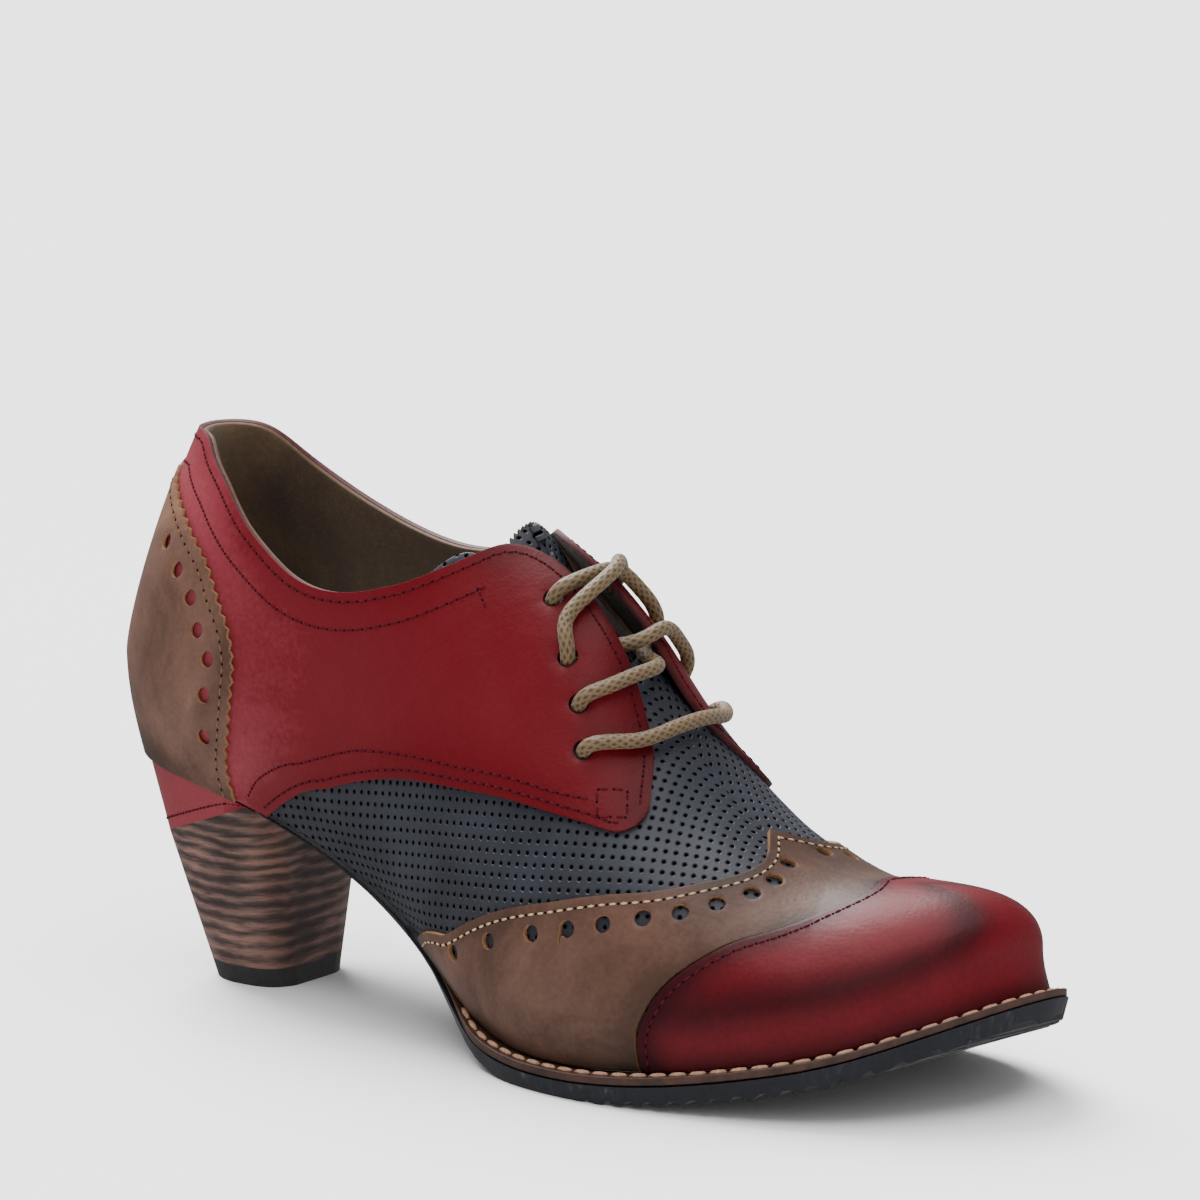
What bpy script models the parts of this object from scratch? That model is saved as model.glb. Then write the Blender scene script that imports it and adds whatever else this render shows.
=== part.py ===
"""A woman's heeled oxford shoe for the right foot, with a stacked block heel.

The shoe stands on its heel tip and on the ball of its outsole. +X runs from the heel to the toe,
+Y to the inner side of the foot and +Z up. The sizes and tables below are in millimetres, times MM.

Every piece of the upper is cut from one surface, the skin of the last. A point on it has a station,
0 at the back of the heel and 1 at the tip of the toe, minus on the outer side of the foot, and a
rise, 0 at the edge of the sole, FULLEST at the widest line and 1 on the ridge of the instep.
"""

from collections import namedtuple
import math

import bpy
import bmesh
from mathutils import Vector
import numpy as np

MM = 0.001

# Whole shoe
LAST_LENGTH = 234 * MM
CENTRE_X = 117.4 * MM
CENTRE_Y = -3.15 * MM

# Cross sections of the last, from the heel to the toe
Section = namedtuple("Section", "x height centre half_width bulge bulge_rise")
SECTIONS = (
    Section(0, 54.5, 0.0, 27.0, 3.0, 25),
    Section(30, 50.5, 0.0, 26.5, 3.5, 22),
    Section(60, 41.5, 0.0, 25.0, 5.5, 22),
    Section(90, 27.4, -0.6, 26.5, 6.5, 20),
    Section(105, 19.0, -1.7, 29.9, 5.6, 19),
    Section(120, 10.8, -3.0, 34.0, 4.5, 17),
    Section(135, 7.0, -3.7, 37.8, 3.4, 15),
    Section(150, 6.3, -3.7, 39.7, 2.5, 13),
    Section(175, 7.8, -1.7, 38.8, 1.5, 11),
    Section(200, 12.2, 1.5, 34.2, 1.0, 10),
    Section(218, 17.3, 5.0, 28.0, 0.8, 10),
    Section(234, 25.0, 9.8, 20.5, 0.5, 10),
)
RidgePoint = namedtuple("RidgePoint", "x height")
RIDGE = (
    RidgePoint(18, 150),
    RidgePoint(40, 152),
    RidgePoint(62, 150),
    RidgePoint(80, 143),
    RidgePoint(95, 129),
    RidgePoint(110, 114.5),
    RidgePoint(125, 100.5),
    RidgePoint(145, 80.5),
    RidgePoint(165, 60.3),
    RidgePoint(185, 47.8),
    RidgePoint(200, 46),
    RidgePoint(214, 46),
)
Fullness = namedtuple("Fullness", "x power")
FULLNESS = (
    Fullness(0, 1.25),
    Fullness(82, 1.8),
    Fullness(117, 1.75),
    Fullness(170, 1.7),
    Fullness(205, 1.75),
    Fullness(234, 2.4),
)
RIDGE_BACK = 22.5 * MM
RIDGE_FRONT = 212 * MM
BACK_BULGE = 3 * MM
TOE_LEAN = 2.5 * MM
FULLEST = 0.25
BALL_SKEW = 0.15
HEEL_ROUND, HEEL_POWER = 30 * MM, 2.3
TOE_ROUND, TOE_POWER = 34 * MM, 2.4

# Layers of the upper, as heights above the skin
OVERLAY_FACE = 0.3 * MM
OVERLAY_WALL = 1.5 * MM
CAP_FACE = 0.9 * MM
CAP_WALL = 2.1 * MM
UPPER_FACE = -1.95 * MM
UPPER_WALL = 1.4 * MM
TONGUE_FACE = -4.3 * MM
TONGUE_TOP_FACE = -1.8 * MM
TONGUE_WALL = 1.5 * MM
FACING_LIFT = 4.5 * MM
LIFT_START, LIFT_END, LIFT_RISE = (0.455, 0.53), (0.545, 0.612), (0.62, 0.92)
GAP = 0.35 * MM

# Edges of the panels
Edge = namedtuple("Edge", "station rise")
COLLAR_OUTER = (
    Edge(0, 0.69),
    Edge(0.10, 0.687),
    Edge(0.15, 0.675),
    Edge(0.18, 0.65),
    Edge(0.223, 0.61),
    Edge(0.26, 0.565),
    Edge(0.297, 0.53),
    Edge(0.33, 0.51),
    Edge(0.357, 0.515),
    Edge(0.403, 0.58),
    Edge(0.427, 0.65),
    Edge(0.457, 0.785),
)
COLLAR_INNER = (
    Edge(0, 0.69),
    Edge(0.08, 0.683),
    Edge(0.14, 0.66),
    Edge(0.19, 0.61),
    Edge(0.24, 0.565),
    Edge(0.29, 0.53),
    Edge(0.33, 0.515),
    Edge(0.357, 0.52),
    Edge(0.403, 0.58),
    Edge(0.427, 0.65),
    Edge(0.457, 0.785),
)
FACING_EDGE = (
    Edge(0.470, 0.86),
    Edge(0.490, 0.92),
    Edge(0.520, 0.94),
    Edge(0.550, 0.93),
    Edge(0.577, 0.91),
    Edge(0.597, 0.875),
    Edge(0.613, 0.82),
    Edge(0.620, 0.765),
    Edge(0.625, 0.720),
)
QUARTER_MIDDLE = (
    Edge(0.36, 0.36),
    Edge(0.45, 0.50),
    Edge(0.53, 0.60),
    Edge(0.60, 0.68),
    Edge(0.6245, 0.697),
)
THROAT_EDGE = (
    Edge(0.470, 0.80),
    Edge(0.500, 0.80),
    Edge(0.530, 0.83),
    Edge(0.550, 0.88),
    Edge(0.563, 0.94),
    Edge(0.567, 1.0),
)
QUARTER_LOWER_EDGE = (
    Edge(0.300, 0.004),
    Edge(0.330, 0.10),
    Edge(0.360, 0.20),
    Edge(0.383, 0.268),
    Edge(0.403, 0.31),
    Edge(0.433, 0.37),
    Edge(0.460, 0.42),
    Edge(0.483, 0.46),
    Edge(0.523, 0.52),
    Edge(0.560, 0.563),
    Edge(0.597, 0.607),
    Edge(0.612, 0.63),
    Edge(0.6215, 0.668),
)
COUNTER_EDGE = (
    Edge(0, 0.622),
    Edge(0.073, 0.612),
    Edge(0.130, 0.588),
    Edge(0.177, 0.555),
    Edge(0.217, 0.515),
    Edge(0.243, 0.48),
    Edge(0.257, 0.45),
    Edge(0.277, 0.405),
    Edge(0.286, 0.36),
    Edge(0.287, 0.315),
    Edge(0.286, 0.245),
    Edge(0.280, 0.16),
    Edge(0.273, 0.09),
    Edge(0.270, 0.004),
)
WING_EDGE = (
    Edge(0.443, 0.03),
    Edge(0.473, 0.185),
    Edge(0.513, 0.32),
    Edge(0.547, 0.39),
    Edge(0.580, 0.445),
    Edge(0.613, 0.505),
    Edge(0.647, 0.572),
    Edge(0.670, 0.635),
    Edge(0.693, 0.715),
    Edge(0.706, 0.79),
    Edge(0.709, 0.87),
    Edge(0.704, 0.93),
    Edge(0.697, 1.0),
)
CAP_EDGE = (
    Edge(0.643, 0.004),
    Edge(0.647, 0.115),
    Edge(0.653, 0.25),
    Edge(0.660, 0.32),
    Edge(0.673, 0.39),
    Edge(0.693, 0.465),
    Edge(0.713, 0.53),
    Edge(0.737, 0.588),
    Edge(0.770, 0.68),
    Edge(0.800, 0.775),
    Edge(0.826, 0.89),
    Edge(0.836, 1.0),
)
TONGUE_SIDE = (
    Edge(0.468, 0.85),
    Edge(0.500, 0.80),
    Edge(0.550, 0.79),
    Edge(0.600, 0.80),
)
TONGUE_RISEN = 0.51
COUNTER_TURN, COLLAR_TURN, WING_TURN = 0.70, 0.48, 0.45
PANEL_APART = Edge(0.0030, 0.010)
CAP_APART = 0.0030
PANEL_LOW = 0.006

# Sole
WELT_OUT = 4.2 * MM
WELT_IN = 7 * MM
WELT_WALL = 1.8 * MM
WELT_START_WALL = 0.5 * MM
WELT_START, WELT_FULL = 0.455, 0.52
SOLE_BACK = 44.7 * MM
SoleEdge = namedtuple("SoleEdge", "x out bottom")
SOLE_EDGES = (
    SoleEdge(44, -0.8, 1.6),
    SoleEdge(75, -0.6, 2.3),
    SoleEdge(98, 0.4, 3.2),
    SoleEdge(108, 1.8, 4.4),
    SoleEdge(120, 3.8, 6.1),
    SoleEdge(135, 4.6, 6.8),
    SoleEdge(240, 4.6, 6.8),
)
SOLE_TAPER = 1.2 * MM
INSOLE_IN = 3.9 * MM
INSOLE_WALL = 2 * MM
INSOLE_START = 0.03

# Heel
HEEL_BACK, HEEL_LEAN = 15.1 * MM, 0.277
HEEL_FRONT, HEEL_FRONT_LEAN = 40.2 * MM, 0.035
HEEL_HALF, HEEL_FLARE = 13.6 * MM, 0.268
HEEL_WIDEST = 0.52
HEEL_BACK_POWER, HEEL_FRONT_POWER = 2.15, 4.5
HEEL_FRONT_CUT = 0.965
TIP_WALL = 4.6 * MM
BAND_LOW = 30.7 * MM
BAND_SLOPE = 0.37
BAND_FRONT = 44.2 * MM
BAND_OUT = 0.2 * MM

# Lace: a waxed round braid
LACE_RADIUS = 1.7 * MM
LACE_STEPS = 14
HOLE_RADIUS = 2.3 * MM
HOLE_REACH = 8 * MM
HOLE_SIDES = 10
EYELETS = (
    Edge(0.513, 0.858),
    Edge(0.540, 0.800),
    Edge(0.559, 0.756),
    Edge(0.573, 0.700),
)
# Runs of the lace from hole to hole: "over" is how far its middle is above the facings, in millimetres
LacePoint = namedtuple("LacePoint", "station rise over")
LOWEST_BAR = (
    LacePoint(-0.573, 0.700, 2.3),
    LacePoint(-0.586, 0.745, 2.3),
    LacePoint(-0.600, 0.800, 2.4),
    LacePoint(-0.611, 0.900, 2.6),
    LacePoint(0.614, 0.980, 2.6),
    LacePoint(0.609, 0.880, 2.5),
    LacePoint(0.594, 0.770, 2.3),
    LacePoint(0.573, 0.700, 2.3),
)
THIRD_FROM_OUTER = (
    LacePoint(-0.559, 0.756, 2.3),
    LacePoint(-0.568, 0.810, 2.3),
    LacePoint(-0.577, 0.900, 2.3),
    LacePoint(0.577, 0.985, 0.8),
    LacePoint(0.567, 0.950, -2.8),
    LacePoint(0.556, 0.905, -4.0),
)
THIRD_FROM_INNER = (
    LacePoint(0.559, 0.756, 2.3),
    LacePoint(0.556, 0.820, 2.3),
    LacePoint(0.557, 0.900, 2.3),
    LacePoint(-0.561, 1.000, -0.6),
    LacePoint(-0.557, 0.955, -3.2),
    LacePoint(-0.552, 0.900, -4.1),
)
TOP_UNDER = (
    LacePoint(-0.513, 0.858, 2.3),
    LacePoint(-0.517, 0.915, 2.3),
    LacePoint(0.518, 1.000, 1.6),
    LacePoint(0.518, 0.930, 2.3),
    LacePoint(0.526, 0.860, 2.3),
    LacePoint(0.540, 0.800, 2.3),
)
TOP_OVER = (
    LacePoint(-0.540, 0.800, 2.3),
    LacePoint(-0.530, 0.830, 2.3),
    LacePoint(-0.528, 0.900, 3.2),
    LacePoint(0.522, 0.985, 4.7),
    LacePoint(0.514, 0.915, 3.6),
    LacePoint(0.513, 0.858, 2.3),
)

# Finishes: colour, roughness and metallic
FINISHES = {
    "quarter leather": ((0.255, 0.021, 0.031), 0.42),
    "cap leather": ((0.22, 0.012, 0.022), 0.3),
    "wing leather": ((0.155, 0.098, 0.062), 0.42),
    "vamp leather": ((0.022, 0.023, 0.03), 0.45),
    "lining": ((0.07, 0.042, 0.025), 0.8),
    "welt leather": ((0.06, 0.016, 0.014), 0.5),
    "sole rubber": ((0.032, 0.032, 0.042), 0.5),
    "stacked leather": ((0.13, 0.07, 0.045), 0.55),
    "tip rubber": ((0.04, 0.04, 0.045), 0.6),
    "waxed lace": ((0.26, 0.19, 0.11), 0.5),
}

# Meshing
MERGE = 0.3 * MM
EDGE_WEIGHT = (280 * MM, 90 * MM)
SHARP_ANGLE = math.radians(40)
HEEL_PASSES = 8


def spline(x, y):
    """A natural cubic spline through points with rising x."""
    x, y = np.asarray(x, float), np.asarray(y, float)
    step = np.diff(x)
    system, slopes = np.eye(len(x)), np.zeros(len(x))
    for i in range(1, len(x) - 1):
        system[i, i - 1 : i + 2] = step[i - 1], 2 * (step[i - 1] + step[i]), step[i]
        slopes[i] = 6 * ((y[i + 1] - y[i]) / step[i] - (y[i] - y[i - 1]) / step[i - 1])
    bend = np.linalg.solve(system, slopes)

    def value(at):
        i = np.clip(np.searchsorted(x, at) - 1, 0, len(x) - 2)
        before, after, h = x[i + 1] - at, at - x[i], step[i]
        cubic = (bend[i] * before**3 + bend[i + 1] * after**3) / (6 * h)
        start, end = y[i] / h - bend[i] * h / 6, y[i + 1] / h - bend[i + 1] * h / 6
        return cubic + start * before + end * after

    return value


def smooth_column(table, column):
    """A smooth line through one named column of a table, in metres."""
    return spline([row.x * MM for row in table], [getattr(row, column) * MM for row in table])


def straight_column(table, column, scale):
    """Straight lines through one named column of a table."""
    x = [row.x * MM for row in table]
    y = [getattr(row, column) * scale for row in table]
    return lambda at: np.interp(at, x, y)


section_height = smooth_column(SECTIONS, "height")
section_centre = smooth_column(SECTIONS, "centre")
section_half = smooth_column(SECTIONS, "half_width")
section_bulge = smooth_column(SECTIONS, "bulge")
section_bulge_rise = smooth_column(SECTIONS, "bulge_rise")
ridge_height = smooth_column(RIDGE, "height")
section_power = straight_column(FULLNESS, "power", 1.0)
sole_out = straight_column(SOLE_EDGES, "out", MM)
sole_bottom = straight_column(SOLE_EDGES, "bottom", MM)


def sole_height(x, y):
    """Height of the lower edge of the upper: the ball line runs further back on the outer side."""
    return section_height(np.maximum(x - BALL_SKEW * y, 0))


def station_x(station):
    """Distance from the heel at a station, with the stations closer together at both ends."""
    return LAST_LENGTH / 2 * (1 - np.cos(math.pi * np.abs(station)))


def end_rounding(x):
    """1 along the shoe, and down to 0 at the back of the heel and at the tip of the toe."""
    heel = np.clip((HEEL_ROUND - x) / HEEL_ROUND, 0, 1)
    toe = np.clip((x - LAST_LENGTH + TOE_ROUND) / TOE_ROUND, 0, 1)
    return (1 - heel**HEEL_POWER) ** (1 / HEEL_POWER) * (1 - toe**TOE_POWER) ** (1 / TOE_POWER)


def over_toe(station):
    """A station past the tip of the toe is one on the other side."""
    return np.where(np.abs(station) > 1, -np.sign(station) * (2 - np.abs(station)), station)


def bare_skin(station, rise):
    """Points on the skin of the last."""
    station, rise = np.broadcast_arrays(np.asarray(station, float), np.asarray(rise, float))
    side, x = np.sign(station), station_x(station)
    rounding, centre = end_rounding(x), section_centre(x)
    low_y = centre + side * section_half(x) * rounding
    low = np.stack([x, low_y, sole_height(x, low_y)], -1)
    wide_x = x - BACK_BULGE + x * (BACK_BULGE - TOE_LEAN) / LAST_LENGTH
    wide_y = centre + side * (section_half(x) + section_bulge(x)) * rounding
    wide = np.stack([wide_x, wide_y, sole_height(x, wide_y) + section_bulge_rise(x)], -1)
    top_x = RIDGE_BACK + (RIDGE_FRONT - RIDGE_BACK) * x / LAST_LENGTH
    top = np.stack([top_x, section_centre(top_x), ridge_height(top_x)], -1)
    lower = np.clip(rise / FULLEST, 0, 1)
    upper = np.clip((rise - FULLEST) / (1 - FULLEST), 0, 1) * math.pi / 2
    outward = np.sin(math.pi / 2 * lower)
    wall = low + (wide - low) * np.stack([outward, outward, lower], -1)
    power = 2 / section_power(x)
    inward, upward = 1 - np.maximum(np.cos(upper), 0) ** power, np.sin(upper) ** power
    arch = wide + (top - wide) * np.stack([inward, inward, upward], -1)
    return np.where((rise > FULLEST)[..., None], arch, wall)


def skin(station, rise, lift=0.0):
    """Points at a height above the skin of the last, along its normal."""
    step = 1e-3
    station, rise = np.clip(station, -1.0, 1.0), np.clip(rise, 0.0, 1.0)
    along = bare_skin(over_toe(station + step), rise) - bare_skin(over_toe(station - step), rise)
    up = bare_skin(station, np.clip(rise + step, 0, 1)) - bare_skin(station, np.clip(rise - step, 0, 1))
    normal = np.cross(up, along)
    normal /= np.linalg.norm(normal, axis=-1, keepdims=True)
    return bare_skin(station, rise) + normal * np.asarray(lift)[..., None]


def ease(value, start, end):
    """A smooth step from 0 at start to 1 at end."""
    part = np.clip((value - start) / (end - start), 0, 1)
    return part * part * (3 - 2 * part)


def facing_lift(station, rise):
    """How far the facings stand off the instep, most near their edges."""
    along = np.abs(station)
    hump = ease(along, *LIFT_START) * (1 - ease(along, *LIFT_END))
    return FACING_LIFT * hump * ease(rise, *LIFT_RISE)


def smooth_edge(edges):
    """A function from 0 to 1 that runs evenly along a smooth line through edge points."""
    points = np.array(edges, float)

    def reach_of(rows):
        steps = np.linalg.norm(np.diff(rows, axis=0) * EDGE_WEIGHT, axis=1)
        return np.r_[0, np.cumsum(steps)] / steps.sum()

    reach = reach_of(points)
    fine = np.linspace(0, 1, 200)
    line = np.stack([spline(reach, points[:, 0])(fine), spline(reach, points[:, 1])(fine)], -1)
    fine = reach_of(line)

    def at(part):
        return np.stack([np.interp(part, fine, line[:, 0]), np.interp(part, fine, line[:, 1])], -1)

    return at


def stretch(line, start, end):
    """The stretch of a line between two of its parts."""
    return lambda part: line(start + (end - start) * part)


def straight_edge(start, end):
    """A straight line on the skin from one edge point to another."""
    return lambda part: np.array(start) * (1 - part[:, None]) + np.array(end) * part[:, None]


def moved(edges, by):
    """The same edge, this much further forward and up."""
    return tuple(Edge(edge.station + by.station, edge.rise + by.rise) for edge in edges)


def outline(station, out):
    """Plan points this far outside the lower edge of the upper, at signed stations."""
    step = 1e-3

    def edge(at):
        x = station_x(at)
        return np.stack([x, section_centre(x) + np.sign(at) * section_half(x) * end_rounding(x)], -1)

    along = edge(over_toe(station + step)) - edge(over_toe(station - step))
    away = np.stack([along[:, 1], -along[:, 0]], -1)
    away /= -np.linalg.norm(away, axis=-1, keepdims=True)
    return edge(station) + away * np.reshape(out, (-1, 1))


def heel_plan(along, across, height_at):
    """Points of the heel block's outline on a surface, from its back to its breast."""
    part = (1 - np.cos(math.pi * along)) / 2
    behind = np.clip((HEEL_WIDEST - part) / HEEL_WIDEST, 0, 1)
    before = np.clip((part - HEEL_WIDEST) / (1 - HEEL_WIDEST), 0, 1) * HEEL_FRONT_CUT
    rounding = (1 - behind**HEEL_BACK_POWER) ** (1 / HEEL_BACK_POWER)
    rounding *= (1 - before**HEEL_FRONT_POWER) ** (1 / HEEL_FRONT_POWER)
    x = HEEL_BACK + (HEEL_FRONT - HEEL_BACK) * part
    for _ in range(HEEL_PASSES):
        z = height_at(x)
        back, front = HEEL_BACK - HEEL_LEAN * z, HEEL_FRONT + HEEL_FRONT_LEAN * z
        x = back + (front - back) * part
    y = across * (HEEL_HALF + HEEL_FLARE * z) * rounding
    return np.stack([x, y, z], -1)


def new_collection(name):
    collection = bpy.data.collections.new(name)
    bpy.context.scene.collection.children.link(collection)
    return collection


def new_material(name, colour, roughness, metallic=0.0):
    made = bpy.data.materials.new(name)
    made.use_nodes = True
    shader = made.node_tree.nodes["Principled BSDF"]
    shader.inputs["Base Color"].default_value = (*colour, 1.0)
    shader.inputs["Roughness"].default_value = roughness
    shader.inputs["Metallic"].default_value = metallic
    made.diffuse_color = (*colour, 1.0)
    return made


class Shoe:
    """The collection, the empty that carries every piece, and the materials."""

    def __init__(self):
        self.parts = new_collection("heeled_oxford_shoe")
        self.cutters = new_collection("cutters")
        self.cutters.hide_render = True
        self.runs = new_collection("joined_runs")
        self.runs.hide_render = True
        self.centre = bpy.data.objects.new("shoe_centre", None)
        self.centre.location = (-CENTRE_X, -CENTRE_Y, 0)
        self.parts.objects.link(self.centre)
        self.finish = {name: new_material(name, *look) for name, look in FINISHES.items()}

    def add(self, name, bm, finish):
        """Makes an object of a bmesh, shaded smooth but for its real corners."""
        mesh = bpy.data.meshes.new(name)
        bm.to_mesh(mesh)
        bm.free()
        mesh.materials.append(self.finish[finish])
        mesh.shade_smooth()
        mesh.set_sharp_from_angle(angle=SHARP_ANGLE)
        piece = bpy.data.objects.new(name, mesh)
        self.parts.objects.link(piece)
        piece.parent = self.centre
        return piece


def add_grid(bm, columns, rows, place):
    """Adds a grid whose vertices are put in place by a function of along and across, 0 to 1."""
    grid = bmesh.ops.create_grid(bm, x_segments=columns, y_segments=rows, size=1.0)["verts"]
    parts = np.array([vert.co[:2] for vert in grid]) / 2 + 0.5
    for vert, point in zip(grid, place(parts[:, 0], parts[:, 1])):
        vert.co = point
    return list({face for vert in grid for face in vert.link_faces})


def between(low, high, side_line=None):
    """Edge points between a low and a high line, with a curved line at their start if one is given."""

    def at(along, up):
        along, up = along[:, None], up[:, None]
        where = low(along[:, 0]) * (1 - up) + high(along[:, 0]) * up
        if side_line:
            start = np.zeros(1)
            where += (1 - along) * (side_line(up[:, 0]) - low(start) * (1 - up) - high(start) * up)
        return where

    return at


def panel(shoe, name, finish, strips, face, wall):
    """A leather panel on both sides of the shoe, from strips of the skin.

    Each strip is its edge points on the outer side and on the inner side, its columns and its rows.
    """
    bm = bmesh.new()
    for outer, inner, columns, rows in strips:
        for side, edges in ((-1, outer), (1, inner)):

            def place(along, up):
                where = edges(along, up)
                station = side * where[:, 0]
                return skin(station, where[:, 1], face(station, where[:, 1]))

            faces = add_grid(bm, columns, rows, place)
            if side > 0:
                bmesh.ops.reverse_faces(bm, faces=faces)
    bmesh.ops.remove_doubles(bm, verts=bm.verts, dist=MERGE)
    piece = shoe.add(name, bm, finish)
    solid = piece.modifiers.new("Wall", "SOLIDIFY")
    solid.thickness = wall
    solid.offset = -1
    solid.use_even_offset = True
    return piece


def block(shoe, name, finish, low, high, columns, rows):
    """A closed block between a low and a high face, each a function of along and across."""
    bm = bmesh.new()
    bmesh.ops.reverse_faces(bm, faces=add_grid(bm, columns, rows, low))
    add_grid(bm, columns, rows, high)
    bmesh.ops.bridge_loops(bm, edges=[edge for edge in bm.edges if edge.is_boundary])
    bmesh.ops.remove_doubles(bm, verts=bm.verts, dist=MERGE / 10)
    bmesh.ops.recalc_face_normals(bm, faces=bm.faces)
    return shoe.add(name, bm, finish)


def level(height):
    """A face of constant height above the skin."""
    return lambda station, rise: np.full(np.shape(station), height)


def make_upper(shoe):
    """The vamp and its lining, one hollow shell under all the panels."""
    over = smooth_edge([Edge(station, 1) for station in (0.567, 0.66, 0.78, 0.9, 1.0)])
    low = straight_edge(Edge(0, 0), Edge(1, 0))
    opening = stretch(low, 0, 0.56)
    toe = between(stretch(low, 0.56, 1), over)
    outer, inner = (smooth_edge(collar + THROAT_EDGE) for collar in (COLLAR_OUTER, COLLAR_INNER))
    strips = ((between(opening, outer), between(opening, inner), 23, 11), (toe, toe, 15, 11))
    panel(shoe, "upper", "vamp leather", strips, level(UPPER_FACE), UPPER_WALL)


def make_quarters(shoe):
    """The red quarters: round the back above the counter, and forward to the facings."""
    counter = smooth_edge(moved(COUNTER_EDGE, PANEL_APART))
    lower = smooth_edge(QUARTER_LOWER_EDGE)
    foot = straight_edge(counter(np.ones(1))[0], QUARTER_LOWER_EDGE[0])
    middle = smooth_edge((Edge(*counter(np.full(1, COUNTER_TURN))[0]),) + QUARTER_MIDDLE)
    front = stretch(counter, 1, COUNTER_TURN)
    foot_columns, lower_columns, back_columns = 2, 18, 10
    foot_part = foot_columns / (foot_columns + lower_columns)
    below_foot = between(foot, stretch(middle, 0, foot_part), front)
    below = between(lower, stretch(middle, foot_part, 1))
    strips = [(below_foot, below_foot, foot_columns, 4), (below, below, lower_columns, 4)]
    tops = [smooth_edge(collar + FACING_EDGE) for collar in (COLLAR_OUTER, COLLAR_INNER)]
    backs = [between(stretch(counter, 0, COUNTER_TURN), stretch(top, 0, COLLAR_TURN)) for top in tops]
    fronts = [between(middle, stretch(top, COLLAR_TURN, 1)) for top in tops]
    strips.append((*backs, back_columns, 4))
    strips.append((*fronts, foot_columns + lower_columns, 4))

    def face(station, rise):
        return OVERLAY_FACE + facing_lift(station, rise)

    return panel(shoe, "quarters", "quarter leather", strips, face, OVERLAY_WALL)


def make_counter(shoe):
    low = straight_edge(Edge(0, PANEL_LOW), Edge(COUNTER_EDGE[-1].station, PANEL_LOW))
    edges = between(low, smooth_edge(COUNTER_EDGE))
    panel(shoe, "counter", "wing leather", [(edges, edges, 14, 5)], level(CAP_FACE), CAP_WALL)


def make_wing(shoe):
    edge = smooth_edge(WING_EDGE)
    cap_side = smooth_edge(moved(CAP_EDGE, Edge(-CAP_APART, 0)))
    start, turn = WING_EDGE[0].station, CAP_EDGE[0].station - CAP_APART
    low = straight_edge(Edge(start, PANEL_LOW), Edge(turn, PANEL_LOW))
    side = between(low, stretch(edge, 0, WING_TURN))
    top = between(cap_side, stretch(edge, WING_TURN, 1))
    strips = [(side, side, 11, 4), (top, top, 13, 4)]
    panel(shoe, "wing", "wing leather", strips, level(OVERLAY_FACE), OVERLAY_WALL)


def make_toe_cap(shoe):
    start, middle, end = CAP_EDGE[0].station, CAP_EDGE[-1].station, 1
    side = between(straight_edge(Edge(start, PANEL_LOW), Edge(middle, PANEL_LOW)), smooth_edge(CAP_EDGE))
    tip = between(
        straight_edge(Edge(middle, PANEL_LOW), Edge(end, PANEL_LOW)),
        straight_edge(CAP_EDGE[-1], Edge(end, 1)),
    )
    strips = [(side, side, 11, 7), (tip, tip, 6, 7)]
    panel(shoe, "toe_cap", "cap leather", strips, level(CAP_FACE), CAP_WALL)


def make_tongue(shoe):
    start, end = TONGUE_SIDE[0].station, TONGUE_SIDE[-1].station
    edges = between(smooth_edge(TONGUE_SIDE), straight_edge(Edge(start, 1), Edge(end, 1)))

    def face(station, rise):
        upper_end = 1 - ease(np.abs(station), start, TONGUE_RISEN)
        return TONGUE_FACE + (TONGUE_TOP_FACE - TONGUE_FACE) * upper_end

    panel(shoe, "tongue", "vamp leather", [(edges, edges, 10, 5)], face, TONGUE_WALL)


def punch_eyelets(shoe, quarters):
    """Cuts the lace holes through both facings, square to the leather."""
    for number, hole in enumerate(EYELETS * 2):
        station = hole.station * (-1 if number < len(EYELETS) else 1)
        at = np.array([station]), np.array([hole.rise])
        foot, head = skin(*at, 0.0)[0], skin(*at, FACING_LIFT)[0]
        bm = bmesh.new()
        bmesh.ops.create_cone(
            bm, cap_ends=True, segments=HOLE_SIDES, radius1=HOLE_RADIUS, radius2=HOLE_RADIUS, depth=2 * HOLE_REACH
        )
        punch = shoe.add(f"eyelet_punch_{number + 1}", bm, "waxed lace")
        shoe.parts.objects.unlink(punch)
        shoe.cutters.objects.link(punch)
        punch.location = foot
        punch.rotation_euler = Vector(head - foot).to_track_quat("Z", "Y").to_euler()
        punch.hide_render = True
        punch.display_type = "WIRE"
    cut = quarters.modifiers.new("Eyelets", "BOOLEAN")
    cut.operand_type = "COLLECTION"
    cut.collection = shoe.cutters
    cut.solver = "EXACT"


def lace_points(run):
    """Points along one run of the lace, evenly spaced on a smooth line."""
    station, rise, over = np.array(run).T
    face = OVERLAY_FACE + facing_lift(station, rise)
    points = skin(station, rise, face + over * MM)
    reach = np.r_[0, np.cumsum(np.linalg.norm(np.diff(points, axis=0), axis=1))]
    even = np.linspace(0, reach[-1], LACE_STEPS)
    return np.stack([spline(reach, points[:, axis])(even) for axis in range(3)], -1)


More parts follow.
